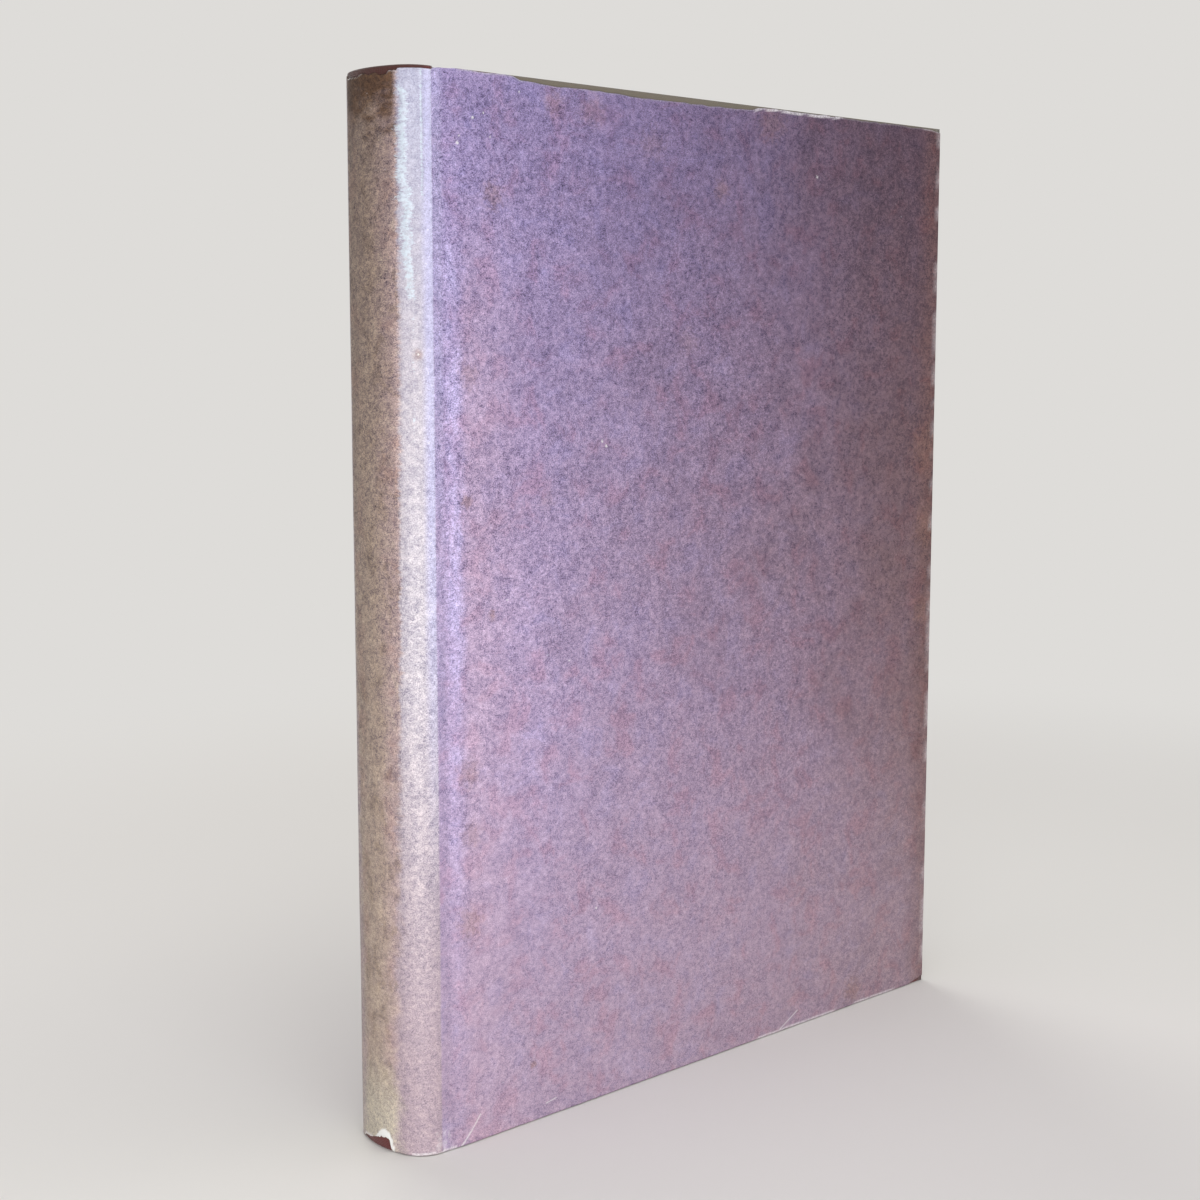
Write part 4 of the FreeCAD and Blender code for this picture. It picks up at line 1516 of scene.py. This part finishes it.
def make_floor():
    mesh = bpy.data.meshes.new("floor")
    reach = FLOOR_REACH
    corners = [(-reach, -reach, 0), (reach, -reach, 0), (reach, reach, 0), (-reach, reach, 0)]
    mesh.from_pydata(corners, [], [(0, 1, 2, 3)])
    floor = linked_object("floor", mesh)
    made = bpy.data.materials.new("Floor")
    made.use_nodes = True
    g = Graph(made.node_tree)
    shader = g.tree.nodes["Principled BSDF"]
    g.feed(shader, {"Base Color": rgba(colours().floor), "Roughness": 0.9})
    # Far from the book the floor passes into the plain pale background, sooner on the lamps' side
    away = g.away(g.node("ShaderNodeTexCoord").outputs["Object"], FLOOR_MIDDLE)
    far = g.span(away, FLOOR_NEAR, FLOOR_FAR)
    seen = g.add("ShaderNodeLightPath")
    plain = g.add("ShaderNodeEmission", {"Color": rgba(BACKGROUND), "Strength": 1.0})
    mixed = g.add("ShaderNodeMixShader", {0: g.times(far, seen), 1: shader.outputs[0], 2: plain})
    g.feed(g.tree.nodes["Material Output"], {"Surface": mixed})
    mesh.materials.append(made)


def make_world(scene):
    world = bpy.data.worlds.new("Studio")
    scene.world = world
    world.use_nodes = True
    world.node_tree.nodes.clear()
    g = Graph(world.node_tree)
    soft = g.add("ShaderNodeBackground", {"Color": rgba(SKY), "Strength": SKY_STRENGTH})
    plain = g.add("ShaderNodeBackground", {"Color": rgba(BACKGROUND), "Strength": 1.0})
    mixed = g.add("ShaderNodeMixShader", {0: g.add("ShaderNodeLightPath"), 1: soft, 2: plain})
    g.node("ShaderNodeOutputWorld", {"Surface": mixed})


LAMPS = (
    # name, angle from the front towards the fore-edge side, height, distance, width, height, watts, colour
    ("window", -35, 0.27, 1.00, 1.20, 0.50, 5.6, (0.88, 0.92, 1.0)),
    ("low_lamp", -46, 0.05, 0.50, 0.34, 0.09, 1.15, (1.0, 0.95, 0.86)),
    ("ceiling", 20, 1.40, 0.25, 1.20, 1.20, 9.5, (1.0, 0.98, 0.96)),
    ("behind", 165, 0.90, 1.20, 0.90, 0.60, 6.5, (1.0, 0.98, 0.95)),
)


def make_lamps():
    target = Vector((0.0, 0.0, 0.45 * BOOK_Z))
    for name, turn, high, distance, width, height, watts, colour in LAMPS:
        a = math.radians(turn)
        data = bpy.data.lights.new(name, "AREA")
        data.shape = "RECTANGLE"
        data.size, data.size_y = width, height
        data.energy = watts
        data.color = colour
        lamp = linked_object(name, data)
        lamp.location = (math.sin(a) * distance, -math.cos(a) * distance, high)
        lamp.rotation_euler = (target - lamp.location).to_track_quat("-Z", "Y").to_euler()
        lamp.visible_camera = False


# Camera at the photograph's place: the hinge line's foot on the front face is its reference
CAMERA_OFFSET = (-267.4 * MM, -330.0 * MM, 181.2 * MM)
CAMERA_YAW = 43.78
CAMERA_PITCH = -7.38
CAMERA_LENS = 58.74


def make_camera(scene):
    data = bpy.data.cameras.new("camera")
    data.lens = CAMERA_LENS
    data.sensor_width = 36
    data.clip_start = 0.01
    camera = linked_object("camera", data)
    right, front, up = CAMERA_OFFSET
    camera.location = (HINGE_X + right, -FACE_H + front, up)
    camera.rotation_euler = (math.radians(90 + CAMERA_PITCH), 0, math.radians(-CAMERA_YAW))
    scene.camera = camera


STEPS = ("materials", "stage", "jacket", "case", "pages", "bands", "endpapers", "finishes")
CLASSES = (
    BookSizes,
    BookColours,
    BOOK_OT_materials,
    BOOK_OT_stage,
    BOOK_OT_jacket,
    BOOK_OT_case,
    BOOK_OT_pages,
    BOOK_OT_bands,
    BOOK_OT_endpapers,
    BOOK_OT_finishes,
    BOOK_PT_panel,
)


def register():
    for cls in CLASSES:
        bpy.utils.register_class(cls)
    bpy.types.Scene.book_sizes = PointerProperty(type=BookSizes)
    bpy.types.Scene.book_colours = PointerProperty(type=BookColours)


def unregister():
    del bpy.types.Scene.book_colours
    del bpy.types.Scene.book_sizes
    for cls in reversed(CLASSES):
        bpy.utils.unregister_class(cls)


def main():
    register()
    for step in STEPS:
        getattr(bpy.ops.book, step)()


if __name__ == "__main__":
    main()
